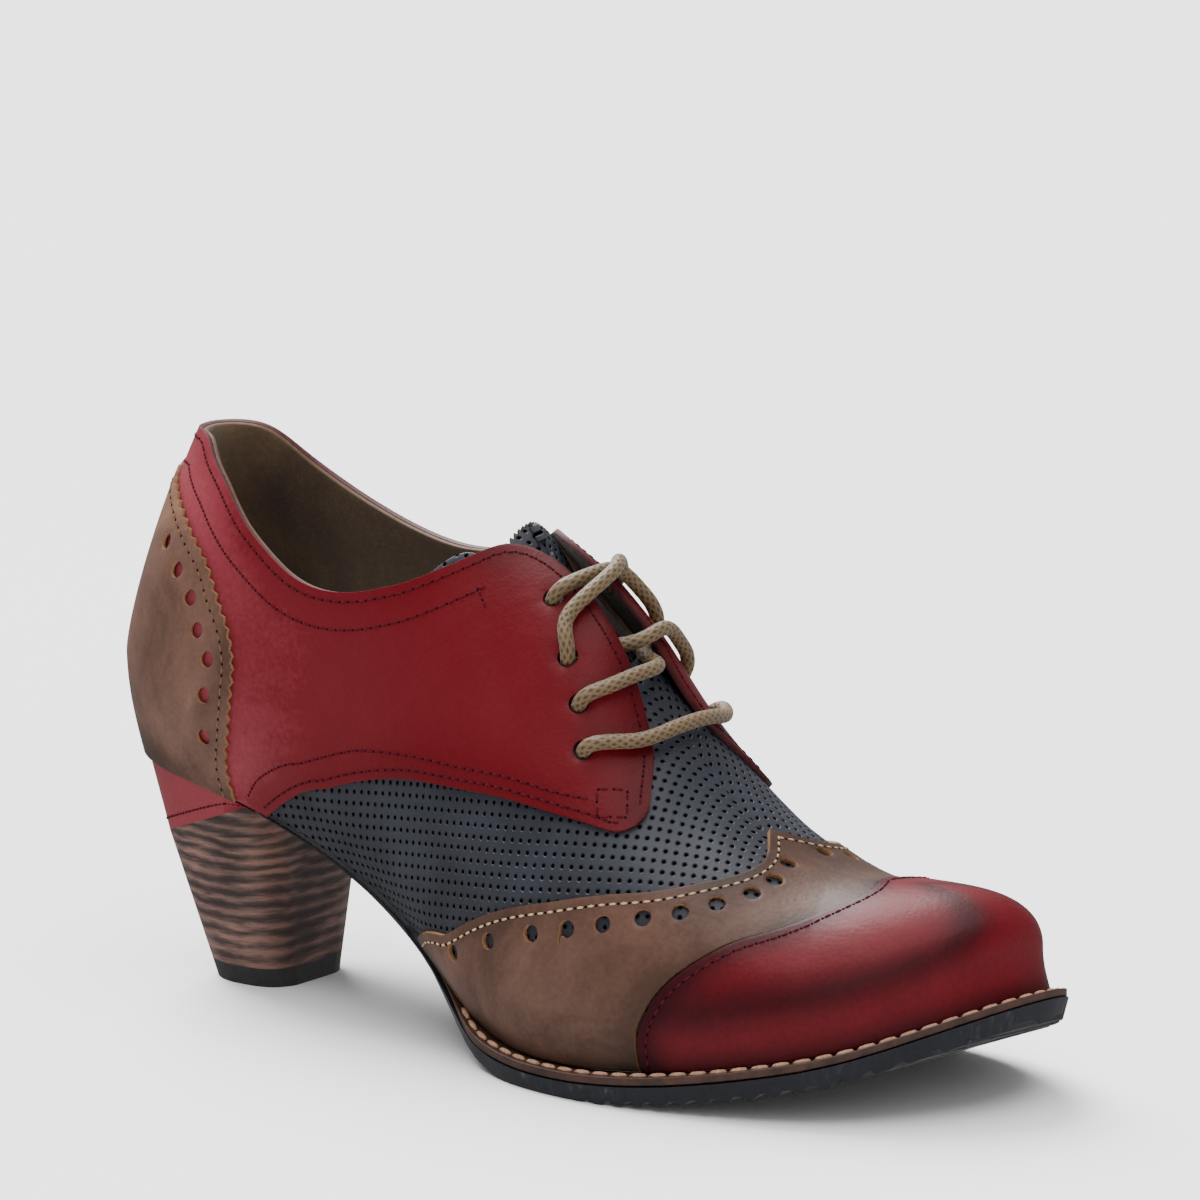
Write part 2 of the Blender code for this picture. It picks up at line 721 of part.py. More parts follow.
def lace_run(shoe, name, run):
    """One run of the lace as a round solid mesh."""
    curve = bpy.data.curves.new(name, "CURVE")
    curve.dimensions = "3D"
    curve.bevel_depth = LACE_RADIUS
    curve.bevel_resolution = 2
    curve.use_fill_caps = True
    points = lace_points(run)
    line = curve.splines.new("POLY")
    line.points.add(len(points) - 1)
    for knot, place in zip(line.points, points):
        knot.co = (*place, 1)
    guide = bpy.data.objects.new(name + "_line", curve)
    shoe.parts.objects.link(guide)
    graph = bpy.context.evaluated_depsgraph_get()
    made = bpy.data.meshes.new_from_object(guide.evaluated_get(graph))
    bpy.data.objects.remove(guide, do_unlink=True)
    bm = bmesh.new()
    bm.from_mesh(made)
    bpy.data.meshes.remove(made)
    bmesh.ops.remove_doubles(bm, verts=bm.verts, dist=MERGE / 10)
    return shoe.add(name, bm, "waxed lace")


def make_lace(shoe):
    """The lace's runs over the facings, ending over their holes: the two top runs are one where they cross."""
    lace_run(shoe, "lace_bar", LOWEST_BAR)
    lace_run(shoe, "lace_third_outer", THIRD_FROM_OUTER)
    lace_run(shoe, "lace_third_inner", THIRD_FROM_INNER)
    crossing = lace_run(shoe, "lace_top_crossing", TOP_UNDER)
    over = lace_run(shoe, "lace_top_over", TOP_OVER)
    shoe.parts.objects.unlink(over)
    shoe.runs.objects.link(over)
    over.hide_render = True
    over.display_type = "WIRE"
    join = crossing.modifiers.new("Crossing", "BOOLEAN")
    join.operation = "UNION"
    join.object = over
    join.solver = "EXACT"


def make_insole(shoe):
    def face(lift):
        def place(along, across):
            station = INSOLE_START + (1 - INSOLE_START) * along
            outer, inner = outline(-station, -INSOLE_IN), outline(station, -INSOLE_IN)
            plan = outer + (inner - outer) * across[:, None]
            return np.column_stack([plan, sole_height(plan[:, 0], plan[:, 1]) + lift])

        return place

    block(shoe, "insole", "lining", face(0), face(INSOLE_WALL), 24, 4)


def make_outsole(shoe):
    """The rubber sole: thin and narrow at the waist, thick under the ball, and flat where it stands."""
    start = math.acos(1 - 2 * SOLE_BACK / LAST_LENGTH) / math.pi

    def face(drop, taper):
        def place(along, across):
            station = start + (1 - start) * along
            out = sole_out(station_x(station)) - taper
            outer, inner = outline(-station, out), outline(station, out)
            plan = outer + (inner - outer) * across[:, None]
            x, y = plan.T
            return np.column_stack([plan, np.maximum(sole_height(x, y) - drop(station, x - BALL_SKEW * y), 0)])

        return place

    def top(station, x):
        return 2 * GAP + welt_wall(station) * (ease(station, WELT_START - 0.03, WELT_START) > 0)

    block(shoe, "outsole", "sole rubber", face(lambda station, x: sole_bottom(x), SOLE_TAPER), face(top, 0), 34, 5)


def welt_wall(station):
    return WELT_START_WALL + (WELT_WALL - WELT_START_WALL) * ease(np.abs(station), WELT_START, WELT_FULL)


def make_welt(shoe):
    """The strip that the forepart of the upper is stitched to, tapering out at the waist."""

    def face(walls):
        def place(along, across):
            part = 2 * along - 1
            station = np.sign(part + 1e-9) * (1 - np.abs(part) * (1 - WELT_START))
            taper = ease(np.abs(station), WELT_START, WELT_FULL)
            plan = outline(station, -WELT_IN + (WELT_OUT * taper + WELT_IN) * across)
            drop = GAP + welt_wall(station) * walls
            return np.column_stack([plan, sole_height(plan[:, 0], plan[:, 1]) - drop])

        return place

    block(shoe, "welt", "welt leather", face(1), face(0), 50, 2)


def band_height(x):
    return BAND_LOW + BAND_SLOPE * x


def make_heel(shoe):
    """The stacked block under the leather band, and the rubber tip that it stands on."""

    def on(height_at):
        return lambda along, across: heel_plan(along, 2 * across - 1, height_at)

    def flat(height):
        return on(lambda x: np.full(np.shape(x), height))

    def seat(along, across):
        x = BAND_FRONT * (1 - np.cos(math.pi * along)) / 2
        y = (2 * across - 1) * (section_half(x) + BAND_OUT) * end_rounding(x)
        return np.stack([x, y, sole_height(x, y) - GAP], -1)

    block(shoe, "heel_band", "quarter leather", on(band_height), seat, 16, 4)
    block(shoe, "heel", "stacked leather", flat(TIP_WALL + GAP), on(lambda x: band_height(x) - GAP), 16, 4)
    block(shoe, "heel_tip", "tip rubber", flat(0.0), flat(TIP_WALL), 16, 4)


def build_shoe():
    for old in list(bpy.data.objects):
        bpy.data.objects.remove(old, do_unlink=True)
    shoe = Shoe()
    make_upper(shoe)
    punch_eyelets(shoe, make_quarters(shoe))
    make_counter(shoe)
    make_wing(shoe)
    make_toe_cap(shoe)
    make_tongue(shoe)
    make_lace(shoe)
    make_insole(shoe)
    make_welt(shoe)
    make_outsole(shoe)
    make_heel(shoe)


build_shoe()
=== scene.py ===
"""Looks of a woman's heeled oxford shoe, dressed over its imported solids.

Every leather piece is cut from the skin of the last, with the same station and rise as the solids. A station
is 0 at the back of the heel and 1 at the tip of the toe, minus on the outer side of the foot. A rise is 0 at
the edge of the sole and 1 on the ridge of the instep. Sizes are metres, most of them written as millimetres
times MM, and the sizes in tables are millimetres.
"""

from collections import namedtuple
import math

import bmesh
import bpy
from mathutils import Matrix, Vector
import numpy as np


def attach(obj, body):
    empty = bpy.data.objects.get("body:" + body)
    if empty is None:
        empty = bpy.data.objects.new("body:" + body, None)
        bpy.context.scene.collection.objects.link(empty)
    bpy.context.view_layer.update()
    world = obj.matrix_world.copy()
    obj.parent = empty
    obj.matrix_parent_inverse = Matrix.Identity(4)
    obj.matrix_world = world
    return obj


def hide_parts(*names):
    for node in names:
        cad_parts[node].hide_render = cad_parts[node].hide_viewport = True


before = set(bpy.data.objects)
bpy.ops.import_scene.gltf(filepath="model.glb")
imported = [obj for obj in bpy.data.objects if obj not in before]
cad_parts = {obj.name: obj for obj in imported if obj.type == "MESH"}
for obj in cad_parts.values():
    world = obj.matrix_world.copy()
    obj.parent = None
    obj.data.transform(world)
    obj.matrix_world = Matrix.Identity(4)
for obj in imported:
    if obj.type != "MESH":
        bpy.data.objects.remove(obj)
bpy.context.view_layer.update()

MM = 0.001

# Whole shoe
LAST_LENGTH = 234 * MM
CENTRE_X = 117.4 * MM
CENTRE_Y = -3.15 * MM

# Cross sections of the last, from the heel to the toe
Section = namedtuple("Section", "x height centre half_width bulge bulge_rise")
SECTIONS = (
    Section(0, 54.5, 0.0, 27.0, 3.0, 25),
    Section(30, 50.5, 0.0, 26.5, 3.5, 22),
    Section(60, 41.5, 0.0, 25.0, 5.5, 22),
    Section(90, 27.4, -0.6, 26.5, 6.5, 20),
    Section(105, 19.0, -1.7, 29.9, 5.6, 19),
    Section(120, 10.8, -3.0, 34.0, 4.5, 17),
    Section(135, 7.0, -3.7, 37.8, 3.4, 15),
    Section(150, 6.3, -3.7, 39.7, 2.5, 13),
    Section(175, 7.8, -1.7, 38.8, 1.5, 11),
    Section(200, 12.2, 1.5, 34.2, 1.0, 10),
    Section(218, 17.3, 5.0, 28.0, 0.8, 10),
    Section(234, 25.0, 9.8, 20.5, 0.5, 10),
)
RidgePoint = namedtuple("RidgePoint", "x height")
RIDGE = (
    RidgePoint(18, 150), RidgePoint(40, 152), RidgePoint(62, 150), RidgePoint(80, 143),
    RidgePoint(95, 129), RidgePoint(110, 114.5), RidgePoint(125, 100.5), RidgePoint(145, 80.5),
    RidgePoint(165, 60.3), RidgePoint(185, 47.8), RidgePoint(200, 46), RidgePoint(214, 46),
)
Fullness = namedtuple("Fullness", "x power")
FULLNESS = (
    Fullness(0, 1.25), Fullness(82, 1.8), Fullness(117, 1.75), Fullness(170, 1.7),
    Fullness(205, 1.75), Fullness(234, 2.4),
)
RIDGE_BACK = 22.5 * MM
RIDGE_FRONT = 212 * MM
BACK_BULGE = 3 * MM
TOE_LEAN = 2.5 * MM
FULLEST = 0.25
BALL_SKEW = 0.15
HEEL_ROUND, HEEL_POWER = 30 * MM, 2.3
TOE_ROUND, TOE_POWER = 34 * MM, 2.4

# Layers of the upper, as heights above the skin
TONGUE_FACE = -4.3 * MM
TONGUE_TOP_FACE = -1.8 * MM
FACING_LIFT = 4.5 * MM
LIFT_START, LIFT_END, LIFT_RISE = (0.455, 0.53), (0.545, 0.612), (0.62, 0.92)

# Space between the layers of the sole and the heel
GAP = 0.35 * MM

# Edges of the panels
Edge = namedtuple("Edge", "station rise")
COLLAR_OUTER = (
    Edge(0, 0.69), Edge(0.10, 0.687), Edge(0.15, 0.675), Edge(0.18, 0.65), Edge(0.223, 0.61),
    Edge(0.26, 0.565), Edge(0.297, 0.53), Edge(0.33, 0.51), Edge(0.357, 0.515), Edge(0.403, 0.58),
    Edge(0.427, 0.65), Edge(0.457, 0.785),
)
COLLAR_INNER = (
    Edge(0, 0.69), Edge(0.08, 0.683), Edge(0.14, 0.66), Edge(0.19, 0.61), Edge(0.24, 0.565),
    Edge(0.29, 0.53), Edge(0.33, 0.515), Edge(0.357, 0.52), Edge(0.403, 0.58), Edge(0.427, 0.65),
    Edge(0.457, 0.785),
)
FACING_EDGE = (
    Edge(0.470, 0.86), Edge(0.490, 0.92), Edge(0.520, 0.94), Edge(0.550, 0.93), Edge(0.577, 0.91),
    Edge(0.597, 0.875), Edge(0.613, 0.82), Edge(0.620, 0.765), Edge(0.625, 0.720),
)
QUARTER_MIDDLE = (
    Edge(0.36, 0.36), Edge(0.45, 0.50), Edge(0.53, 0.60), Edge(0.60, 0.68), Edge(0.6245, 0.697),
)
THROAT_EDGE = (
    Edge(0.470, 0.80), Edge(0.500, 0.80), Edge(0.530, 0.83), Edge(0.550, 0.88), Edge(0.563, 0.94),
    Edge(0.567, 1.0),
)
QUARTER_LOWER_EDGE = (
    Edge(0.300, 0.004), Edge(0.330, 0.10), Edge(0.360, 0.20), Edge(0.383, 0.268), Edge(0.403, 0.31),
    Edge(0.433, 0.37), Edge(0.460, 0.42), Edge(0.483, 0.46), Edge(0.523, 0.52), Edge(0.560, 0.563),
    Edge(0.597, 0.607), Edge(0.612, 0.63), Edge(0.6215, 0.668),
)
COUNTER_EDGE = (
    Edge(0, 0.622), Edge(0.073, 0.612), Edge(0.130, 0.588), Edge(0.177, 0.555), Edge(0.217, 0.515),
    Edge(0.243, 0.48), Edge(0.257, 0.45), Edge(0.277, 0.405), Edge(0.286, 0.36), Edge(0.287, 0.315),
    Edge(0.286, 0.245), Edge(0.280, 0.16), Edge(0.273, 0.09), Edge(0.270, 0.004),
)
WING_EDGE = (
    Edge(0.443, 0.03), Edge(0.473, 0.185), Edge(0.513, 0.32), Edge(0.547, 0.39), Edge(0.580, 0.445),
    Edge(0.613, 0.505), Edge(0.647, 0.572), Edge(0.670, 0.635), Edge(0.693, 0.715),
    Edge(0.706, 0.79), Edge(0.709, 0.87), Edge(0.704, 0.93), Edge(0.697, 1.0),
)
CAP_EDGE = (
    Edge(0.643, 0.004), Edge(0.647, 0.115), Edge(0.653, 0.25), Edge(0.660, 0.32), Edge(0.673, 0.39),
    Edge(0.693, 0.465), Edge(0.713, 0.53), Edge(0.737, 0.588), Edge(0.770, 0.68),
    Edge(0.800, 0.775), Edge(0.826, 0.89), Edge(0.836, 1.0),
)
TONGUE_SIDE = (
    Edge(0.468, 0.85), Edge(0.500, 0.80), Edge(0.550, 0.79), Edge(0.600, 0.80),
)
TONGUE_RISEN = 0.51
COUNTER_TURN, COLLAR_TURN, WING_TURN = 0.70, 0.48, 0.45
CAP_APART = 0.0030
PANEL_LOW = 0.006

# Sole
WELT_OUT = 4.2 * MM
WELT_IN = 7 * MM
WELT_WALL = 1.8 * MM
WELT_START_WALL = 0.5 * MM
WELT_START, WELT_FULL = 0.455, 0.52
SOLE_BACK = 44.7 * MM
SoleEdge = namedtuple("SoleEdge", "x out bottom")
SOLE_EDGES = (
    SoleEdge(44, -0.8, 1.6),
    SoleEdge(75, -0.6, 2.3),
    SoleEdge(98, 0.4, 3.2),
    SoleEdge(108, 1.8, 4.4),
    SoleEdge(120, 3.8, 6.1),
    SoleEdge(135, 4.6, 6.8),
    SoleEdge(240, 4.6, 6.8),
)
SOLE_TAPER = 1.2 * MM
INSOLE_IN = 3.9 * MM
INSOLE_WALL = 2 * MM
INSOLE_START = 0.03

# Heel
HEEL_BACK, HEEL_LEAN = 15.1 * MM, 0.277
HEEL_FRONT, HEEL_FRONT_LEAN = 40.2 * MM, 0.035
HEEL_HALF, HEEL_FLARE = 13.6 * MM, 0.268
HEEL_WIDEST = 0.52
HEEL_BACK_POWER, HEEL_FRONT_POWER = 2.15, 3.2
HEEL_FRONT_CUT = 0.965
TIP_WALL = 4.6 * MM
BAND_LOW = 30.7 * MM
BAND_SLOPE = 0.37
BAND_FRONT = 44.2 * MM
BAND_OUT = 0.2 * MM

# Lace: a waxed round braid
LACE_RADIUS = 1.7 * MM
HOLE_RADIUS = 2.3 * MM
EYELETS = (
    Edge(0.513, 0.858), Edge(0.540, 0.800), Edge(0.559, 0.756), Edge(0.573, 0.700),
)
# Runs of the lace from hole to hole: "over" is how far its middle is above the facings, in millimetres
LacePoint = namedtuple("LacePoint", "station rise over")
LOWEST_BAR = (
    LacePoint(-0.573, 0.700, 2.3), LacePoint(-0.586, 0.745, 2.3), LacePoint(-0.600, 0.800, 2.4),
    LacePoint(-0.611, 0.900, 2.6), LacePoint(0.614, 0.980, 2.6), LacePoint(0.609, 0.880, 2.5),
    LacePoint(0.594, 0.770, 2.3), LacePoint(0.573, 0.700, 2.3),
)
THIRD_FROM_OUTER = (
    LacePoint(-0.559, 0.756, 2.3), LacePoint(-0.568, 0.810, 2.3), LacePoint(-0.577, 0.900, 2.3),
    LacePoint(0.577, 0.985, 0.8), LacePoint(0.567, 0.950, -2.8), LacePoint(0.556, 0.905, -4.0),
)
THIRD_FROM_INNER = (
    LacePoint(0.559, 0.756, 2.3), LacePoint(0.556, 0.820, 2.3), LacePoint(0.557, 0.900, 2.3),
    LacePoint(-0.561, 1.000, -0.6), LacePoint(-0.557, 0.955, -3.2), LacePoint(-0.552, 0.900, -4.1),
)
TOP_UNDER = (
    LacePoint(-0.513, 0.858, 2.3), LacePoint(-0.517, 0.915, 2.3), LacePoint(0.518, 1.000, 1.6),
    LacePoint(0.518, 0.930, 2.3), LacePoint(0.526, 0.860, 2.3), LacePoint(0.540, 0.800, 2.3),
)
TOP_OVER = (
    LacePoint(-0.540, 0.800, 2.3), LacePoint(-0.530, 0.830, 2.3), LacePoint(-0.528, 0.900, 3.2),
    LacePoint(0.522, 0.985, 4.7), LacePoint(0.514, 0.915, 3.6), LacePoint(0.513, 0.858, 2.3),
)

# About how much leather one station and one rise cover
EDGE_WEIGHT = (280 * MM, 90 * MM)

# A small step in station or rise, for slopes
STEP = 1e-3

# Passes that find where the leaning heel meets a sloping surface
HEEL_PASSES = 8


def spline(x, y):
    """A natural cubic spline through points with rising x."""
    x, y = np.asarray(x, float), np.asarray(y, float)
    step = np.diff(x)
    system, slopes = np.eye(len(x)), np.zeros(len(x))
    for i in range(1, len(x) - 1):
        system[i, i - 1 : i + 2] = step[i - 1], 2 * (step[i - 1] + step[i]), step[i]
        slopes[i] = 6 * ((y[i + 1] - y[i]) / step[i] - (y[i] - y[i - 1]) / step[i - 1])
    bend = np.linalg.solve(system, slopes)

    def value(at):
        i = np.clip(np.searchsorted(x, at) - 1, 0, len(x) - 2)
        before, after, h = x[i + 1] - at, at - x[i], step[i]
        cubic = (bend[i] * before**3 + bend[i + 1] * after**3) / (6 * h)
        start, end = y[i] / h - bend[i] * h / 6, y[i + 1] / h - bend[i + 1] * h / 6
        return cubic + start * before + end * after

    return value


def smooth_column(table, column):
    """A smooth line through one named column of a table, in metres."""
    return spline([row.x * MM for row in table], [getattr(row, column) * MM for row in table])


def straight_column(table, column, scale):
    """Straight lines through one named column of a table."""
    x = [row.x * MM for row in table]
    y = [getattr(row, column) * scale for row in table]
    return lambda at: np.interp(at, x, y)


section_height = smooth_column(SECTIONS, "height")
section_centre = smooth_column(SECTIONS, "centre")
section_half = smooth_column(SECTIONS, "half_width")
section_bulge = smooth_column(SECTIONS, "bulge")
section_bulge_rise = smooth_column(SECTIONS, "bulge_rise")
ridge_height = smooth_column(RIDGE, "height")
section_power = straight_column(FULLNESS, "power", 1.0)
sole_out = straight_column(SOLE_EDGES, "out", MM)
sole_bottom = straight_column(SOLE_EDGES, "bottom", MM)


def sole_height(x, y):
    """Height of the lower edge of the upper: the ball line runs further back on the outer side."""
    return section_height(np.maximum(x - BALL_SKEW * y, 0))


def station_x(station):
    """Distance from the heel at a station, with the stations closer together at both ends."""
    return LAST_LENGTH / 2 * (1 - np.cos(math.pi * np.abs(station)))


def end_rounding(x):
    """1 along the shoe, and down to 0 at the back of the heel and at the tip of the toe."""
    heel = np.clip((HEEL_ROUND - x) / HEEL_ROUND, 0, 1)
    toe = np.clip((x - LAST_LENGTH + TOE_ROUND) / TOE_ROUND, 0, 1)
    return (1 - heel**HEEL_POWER) ** (1 / HEEL_POWER) * (1 - toe**TOE_POWER) ** (1 / TOE_POWER)


def over_toe(station):
    """A station past the tip of the toe is one on the other side."""
    return np.where(np.abs(station) > 1, -np.sign(station) * (2 - np.abs(station)), station)


def bare_skin(station, rise):
    """Points on the skin of the last."""
    station, rise = np.broadcast_arrays(np.asarray(station, float), np.asarray(rise, float))
    side, x = np.sign(station), station_x(station)
    rounding, centre = end_rounding(x), section_centre(x)
    low_y = centre + side * section_half(x) * rounding
    low = np.stack([x, low_y, sole_height(x, low_y)], -1)
    wide_x = x - BACK_BULGE + x * (BACK_BULGE - TOE_LEAN) / LAST_LENGTH
    wide_y = centre + side * (section_half(x) + section_bulge(x)) * rounding
    wide = np.stack([wide_x, wide_y, sole_height(x, wide_y) + section_bulge_rise(x)], -1)
    top_x = RIDGE_BACK + (RIDGE_FRONT - RIDGE_BACK) * x / LAST_LENGTH
    top = np.stack([top_x, section_centre(top_x), ridge_height(top_x)], -1)
    lower = np.clip(rise / FULLEST, 0, 1)
    upper = np.clip((rise - FULLEST) / (1 - FULLEST), 0, 1) * math.pi / 2
    outward = np.sin(math.pi / 2 * lower)
    wall = low + (wide - low) * np.stack([outward, outward, lower], -1)
    power = 2 / section_power(x)
    inward, upward = 1 - np.maximum(np.cos(upper), 0) ** power, np.sin(upper) ** power
    arch = wide + (top - wide) * np.stack([inward, inward, upward], -1)
    return np.where((rise > FULLEST)[..., None], arch, wall)


def skin(station, rise, lift=0.0):
    """Points at a height above the skin of the last, along its normal."""
    station, rise = np.clip(station, -1.0, 1.0), np.clip(rise, 0.0, 1.0)
    # The normal is taken a step away from both rims, because the ends of the ridge are single points
    near = np.clip(rise, STEP, 1 - STEP)
    along = bare_skin(over_toe(station + STEP), near) - bare_skin(over_toe(station - STEP), near)
    up = bare_skin(station, near + STEP) - bare_skin(station, near - STEP)
    normal = np.cross(up, along)
    normal /= np.linalg.norm(normal, axis=-1, keepdims=True)
    return bare_skin(station, rise) + normal * np.asarray(lift)[..., None]


def ease(value, start, end):
    """A smooth step from 0 at start to 1 at end."""
    part = np.clip((value - start) / (end - start), 0, 1)
    return part * part * (3 - 2 * part)


def facing_lift(station, rise):
    """How far the facings stand off the instep, most near their edges."""
    along = np.abs(station)
    hump = ease(along, *LIFT_START) * (1 - ease(along, *LIFT_END))
    return FACING_LIFT * hump * ease(rise, *LIFT_RISE)


def smooth_edge(edges):
    """A function from 0 to 1 that runs evenly along a smooth line through edge points."""
    points = np.array(edges, float)

    def reach_of(rows):
        steps = np.linalg.norm(np.diff(rows, axis=0) * EDGE_WEIGHT, axis=1)
        return np.r_[0, np.cumsum(steps)] / steps.sum()

    reach = reach_of(points)
    fine = np.linspace(0, 1, 200)
    line = np.stack([spline(reach, points[:, 0])(fine), spline(reach, points[:, 1])(fine)], -1)
    fine = reach_of(line)

    def at(part):
        return np.stack([np.interp(part, fine, line[:, 0]), np.interp(part, fine, line[:, 1])], -1)

    return at


def stretch(line, start, end):
    """The stretch of a line between two of its parts."""
    return lambda part: line(start + (end - start) * part)


def straight_edge(start, end):
    """A straight line on the skin from one edge point to another."""
    return lambda part: np.array(start) * (1 - part[:, None]) + np.array(end) * part[:, None]


def moved(edges, by):
    """The same edge, this much further forward and up."""
    return tuple(Edge(edge.station + by.station, edge.rise + by.rise) for edge in edges)


def shrunk(edges, stations, rises, low=0.0):
    """The same edge drawn in towards the lower back of the heel, but not below a rise."""
    return tuple(Edge(edge.station * stations, max(edge.rise * rises, low)) for edge in edges)


def outline(station, out):
    """Plan points this far outside the lower edge of the upper, at signed stations."""

    def edge(at):
        x = station_x(at)
        return np.stack([x, section_centre(x) + np.sign(at) * section_half(x) * end_rounding(x)], -1)

    along = edge(over_toe(station + STEP)) - edge(over_toe(station - STEP))
    away = np.stack([along[:, 1], -along[:, 0]], -1)
    away /= -np.linalg.norm(away, axis=-1, keepdims=True)
    return edge(station) + away * np.reshape(out, (-1, 1))


def heel_plan(along, across, height_at):
    """Points of the heel block's outline on a surface, from its back to its breast."""
    part = (1 - np.cos(math.pi * along)) / 2
    behind = np.clip((HEEL_WIDEST - part) / HEEL_WIDEST, 0, 1)
    before = np.clip((part - HEEL_WIDEST) / (1 - HEEL_WIDEST), 0, 1) * HEEL_FRONT_CUT
    rounding = (1 - behind**HEEL_BACK_POWER) ** (1 / HEEL_BACK_POWER)
    rounding *= (1 - before**HEEL_FRONT_POWER) ** (1 / HEEL_FRONT_POWER)
    x = HEEL_BACK + (HEEL_FRONT - HEEL_BACK) * part
    for _ in range(HEEL_PASSES):
        z = height_at(x)
        back, front = HEEL_BACK - HEEL_LEAN * z, HEEL_FRONT + HEEL_FRONT_LEAN * z
        x = back + (front - back) * part
    y = across * (HEEL_HALF + HEEL_FLARE * z) * rounding
    return np.stack([x, y, z], -1)


# Finer sizes of the dressed shoe
VAMP_FACE, VAMP_WALL = -1.0 * MM, 1.2 * MM
PANEL_FACE, PANEL_WALL = 0.3 * MM, 1.2 * MM
TOP_FACE, TOP_WALL = 0.9 * MM, 1.1 * MM
COUNTER_FACE, COUNTER_WALL = 1.3 * MM, 0.9 * MM
BACKING_FACE, BACKING_WALL = -0.25 * MM, 0.5 * MM
TONGUE_PIECE_FACE, TONGUE_PIECE_WALL = -4.0 * MM, 1.4 * MM
RIM_ROUND = 0.3 * MM
BROGUE_RADIUS = 1.95 * MM
PINK_PITCH, PINK_DEPTH = 2.9 * MM, 0.55 * MM
PIN_PITCH, PIN_RADIUS = 2.65 * MM, 0.54 * MM
LIFT_PITCH, LIFT_DRIFT = 3.1 * MM, 9 * MM
TREAD_PITCH, TREAD_DEPTH, TREAD_START = 5.0 * MM, 0.9 * MM, (150 * MM, 156 * MM)
BRAID_STEP, BRAID_SIDES, BRAID_PITCH, BRAID_STRANDS, STRAND_HEIGHT = 0.24 * MM, 44, 2.4 * MM, 7, 0.10 * MM

# Vertices closer than this are one, and the lifts reach this far into the band and the top piece
WELD, LAP = 0.03 * MM, 0.1 * MM

# The rows of pinholes climb this much for each metre forward, so that they follow the instep
ROW_SLOPE = 0.12

# How far in from their edge the rows of stitches run
COLLAR_ROW, SECOND_COLLAR_ROW, LOWER_ROW = 2.2 * MM, 8.5 * MM, 2.0 * MM
COUNTER_ROW, WING_ROW, CAP_ROW = 2.6 * MM, 2.2 * MM, 2.0 * MM
Thread = namedtuple("Thread", "pitch length width height")
FINE_THREAD = Thread(2.5 * MM, 1.75 * MM, 0.6 * MM, 0.4 * MM)
WELT_THREAD = Thread(4.7 * MM, 4.7 * MM, 1.5 * MM, 1.2 * MM)

# Stitches lie this high on the leather, and their way is taken this far ahead
STITCH_LIFT, STITCH_AHEAD = 0.05 * MM, 0.3 * MM

# Needle holes: half their length, width and depth
PRICK = (0.38 * MM, 0.34 * MM, 0.12 * MM)

# The welt's stitches run along this part of its width. The heel cover's row is this far above its lower edge,
# where the cover is this tall at least, and faces away from the middle of the heel.
WELT_ROW = 0.84
COVER_ROW, COVER_LEAST, HEEL_MIDDLE = 3 * MM, 5 * MM, 25 * MM

# A run of lace ends in an eyelet where its last point is this high over the facing, in millimetres. It
# crosses the lip part of the way to its next point, and goes down the hole to these heights.
IN_HOLE, LIP_PART, LIP_OVER, DOWN_HOLE = (2.0, 2.6), 0.30, 1.75, (-3.2, -1.2)

# The teeth of the tongue's upper end: how many on each side, how deep in stations, and how soon they fade
TONGUE_TEETH, TONGUE_TOOTH, TONGUE_FADE = 7, 0.0016, 12

COUNTER_HOLES = (
    Edge(0.163, 0.510), Edge(0.200, 0.475), Edge(0.227, 0.440), Edge(0.243, 0.395),
    Edge(0.260, 0.355), Edge(0.260, 0.285), Edge(0.257, 0.165),
)
WING_HOLES = (
    Edge(0.500, 0.235), Edge(0.533, 0.320), Edge(0.567, 0.375), Edge(0.593, 0.415),
    Edge(0.617, 0.455), Edge(0.643, 0.505), Edge(0.667, 0.555), Edge(0.690, 0.620),
    Edge(0.712, 0.700), Edge(0.724, 0.785), Edge(0.727, 0.890),
)

# The station along the sole where the vamp's net changes from the opening to the ridge
VAMP_TURN = 0.56

# The counter is drawn as a core and a border that follows its edge, over an underlay that is a little smaller
COUNTER_CORE, UNDERLAY = 0.8, (0.985, 0.97)

# How far the quarters reach under the counter, and how low
TUCK, QUARTER_LOW = Edge(0.010, 0.030), 0.004

# The second row of stitches over the lower edge of the quarters, and the two tacks
SECOND_ROW = (
    Edge(0.288, 0.045), Edge(0.306, 0.116), Edge(0.325, 0.177), Edge(0.348, 0.245),
    Edge(0.375, 0.304), Edge(0.421, 0.385), Edge(0.473, 0.473), Edge(0.531, 0.561),
    Edge(0.566, 0.604), Edge(0.588, 0.638),
)
BOX_TACK = (Edge(0.590, 0.663), Edge(0.608, 0.711), Edge(0.6143, 0.665), Edge(0.5963, 0.623))
BAR_TACK = (Edge(0.4667, 0.7362), Edge(0.4784, 0.7246))

# The crown of the cap, which is rubbed darkest
CAP_CROWN = (
    Edge(0.69, 0.29), Edge(0.74, 0.325), Edge(0.79, 0.335), Edge(0.85, 0.345), Edge(0.90, 0.40),
    Edge(0.93, 0.60), Edge(0.93, 0.85), Edge(0.93, 1.0),
)

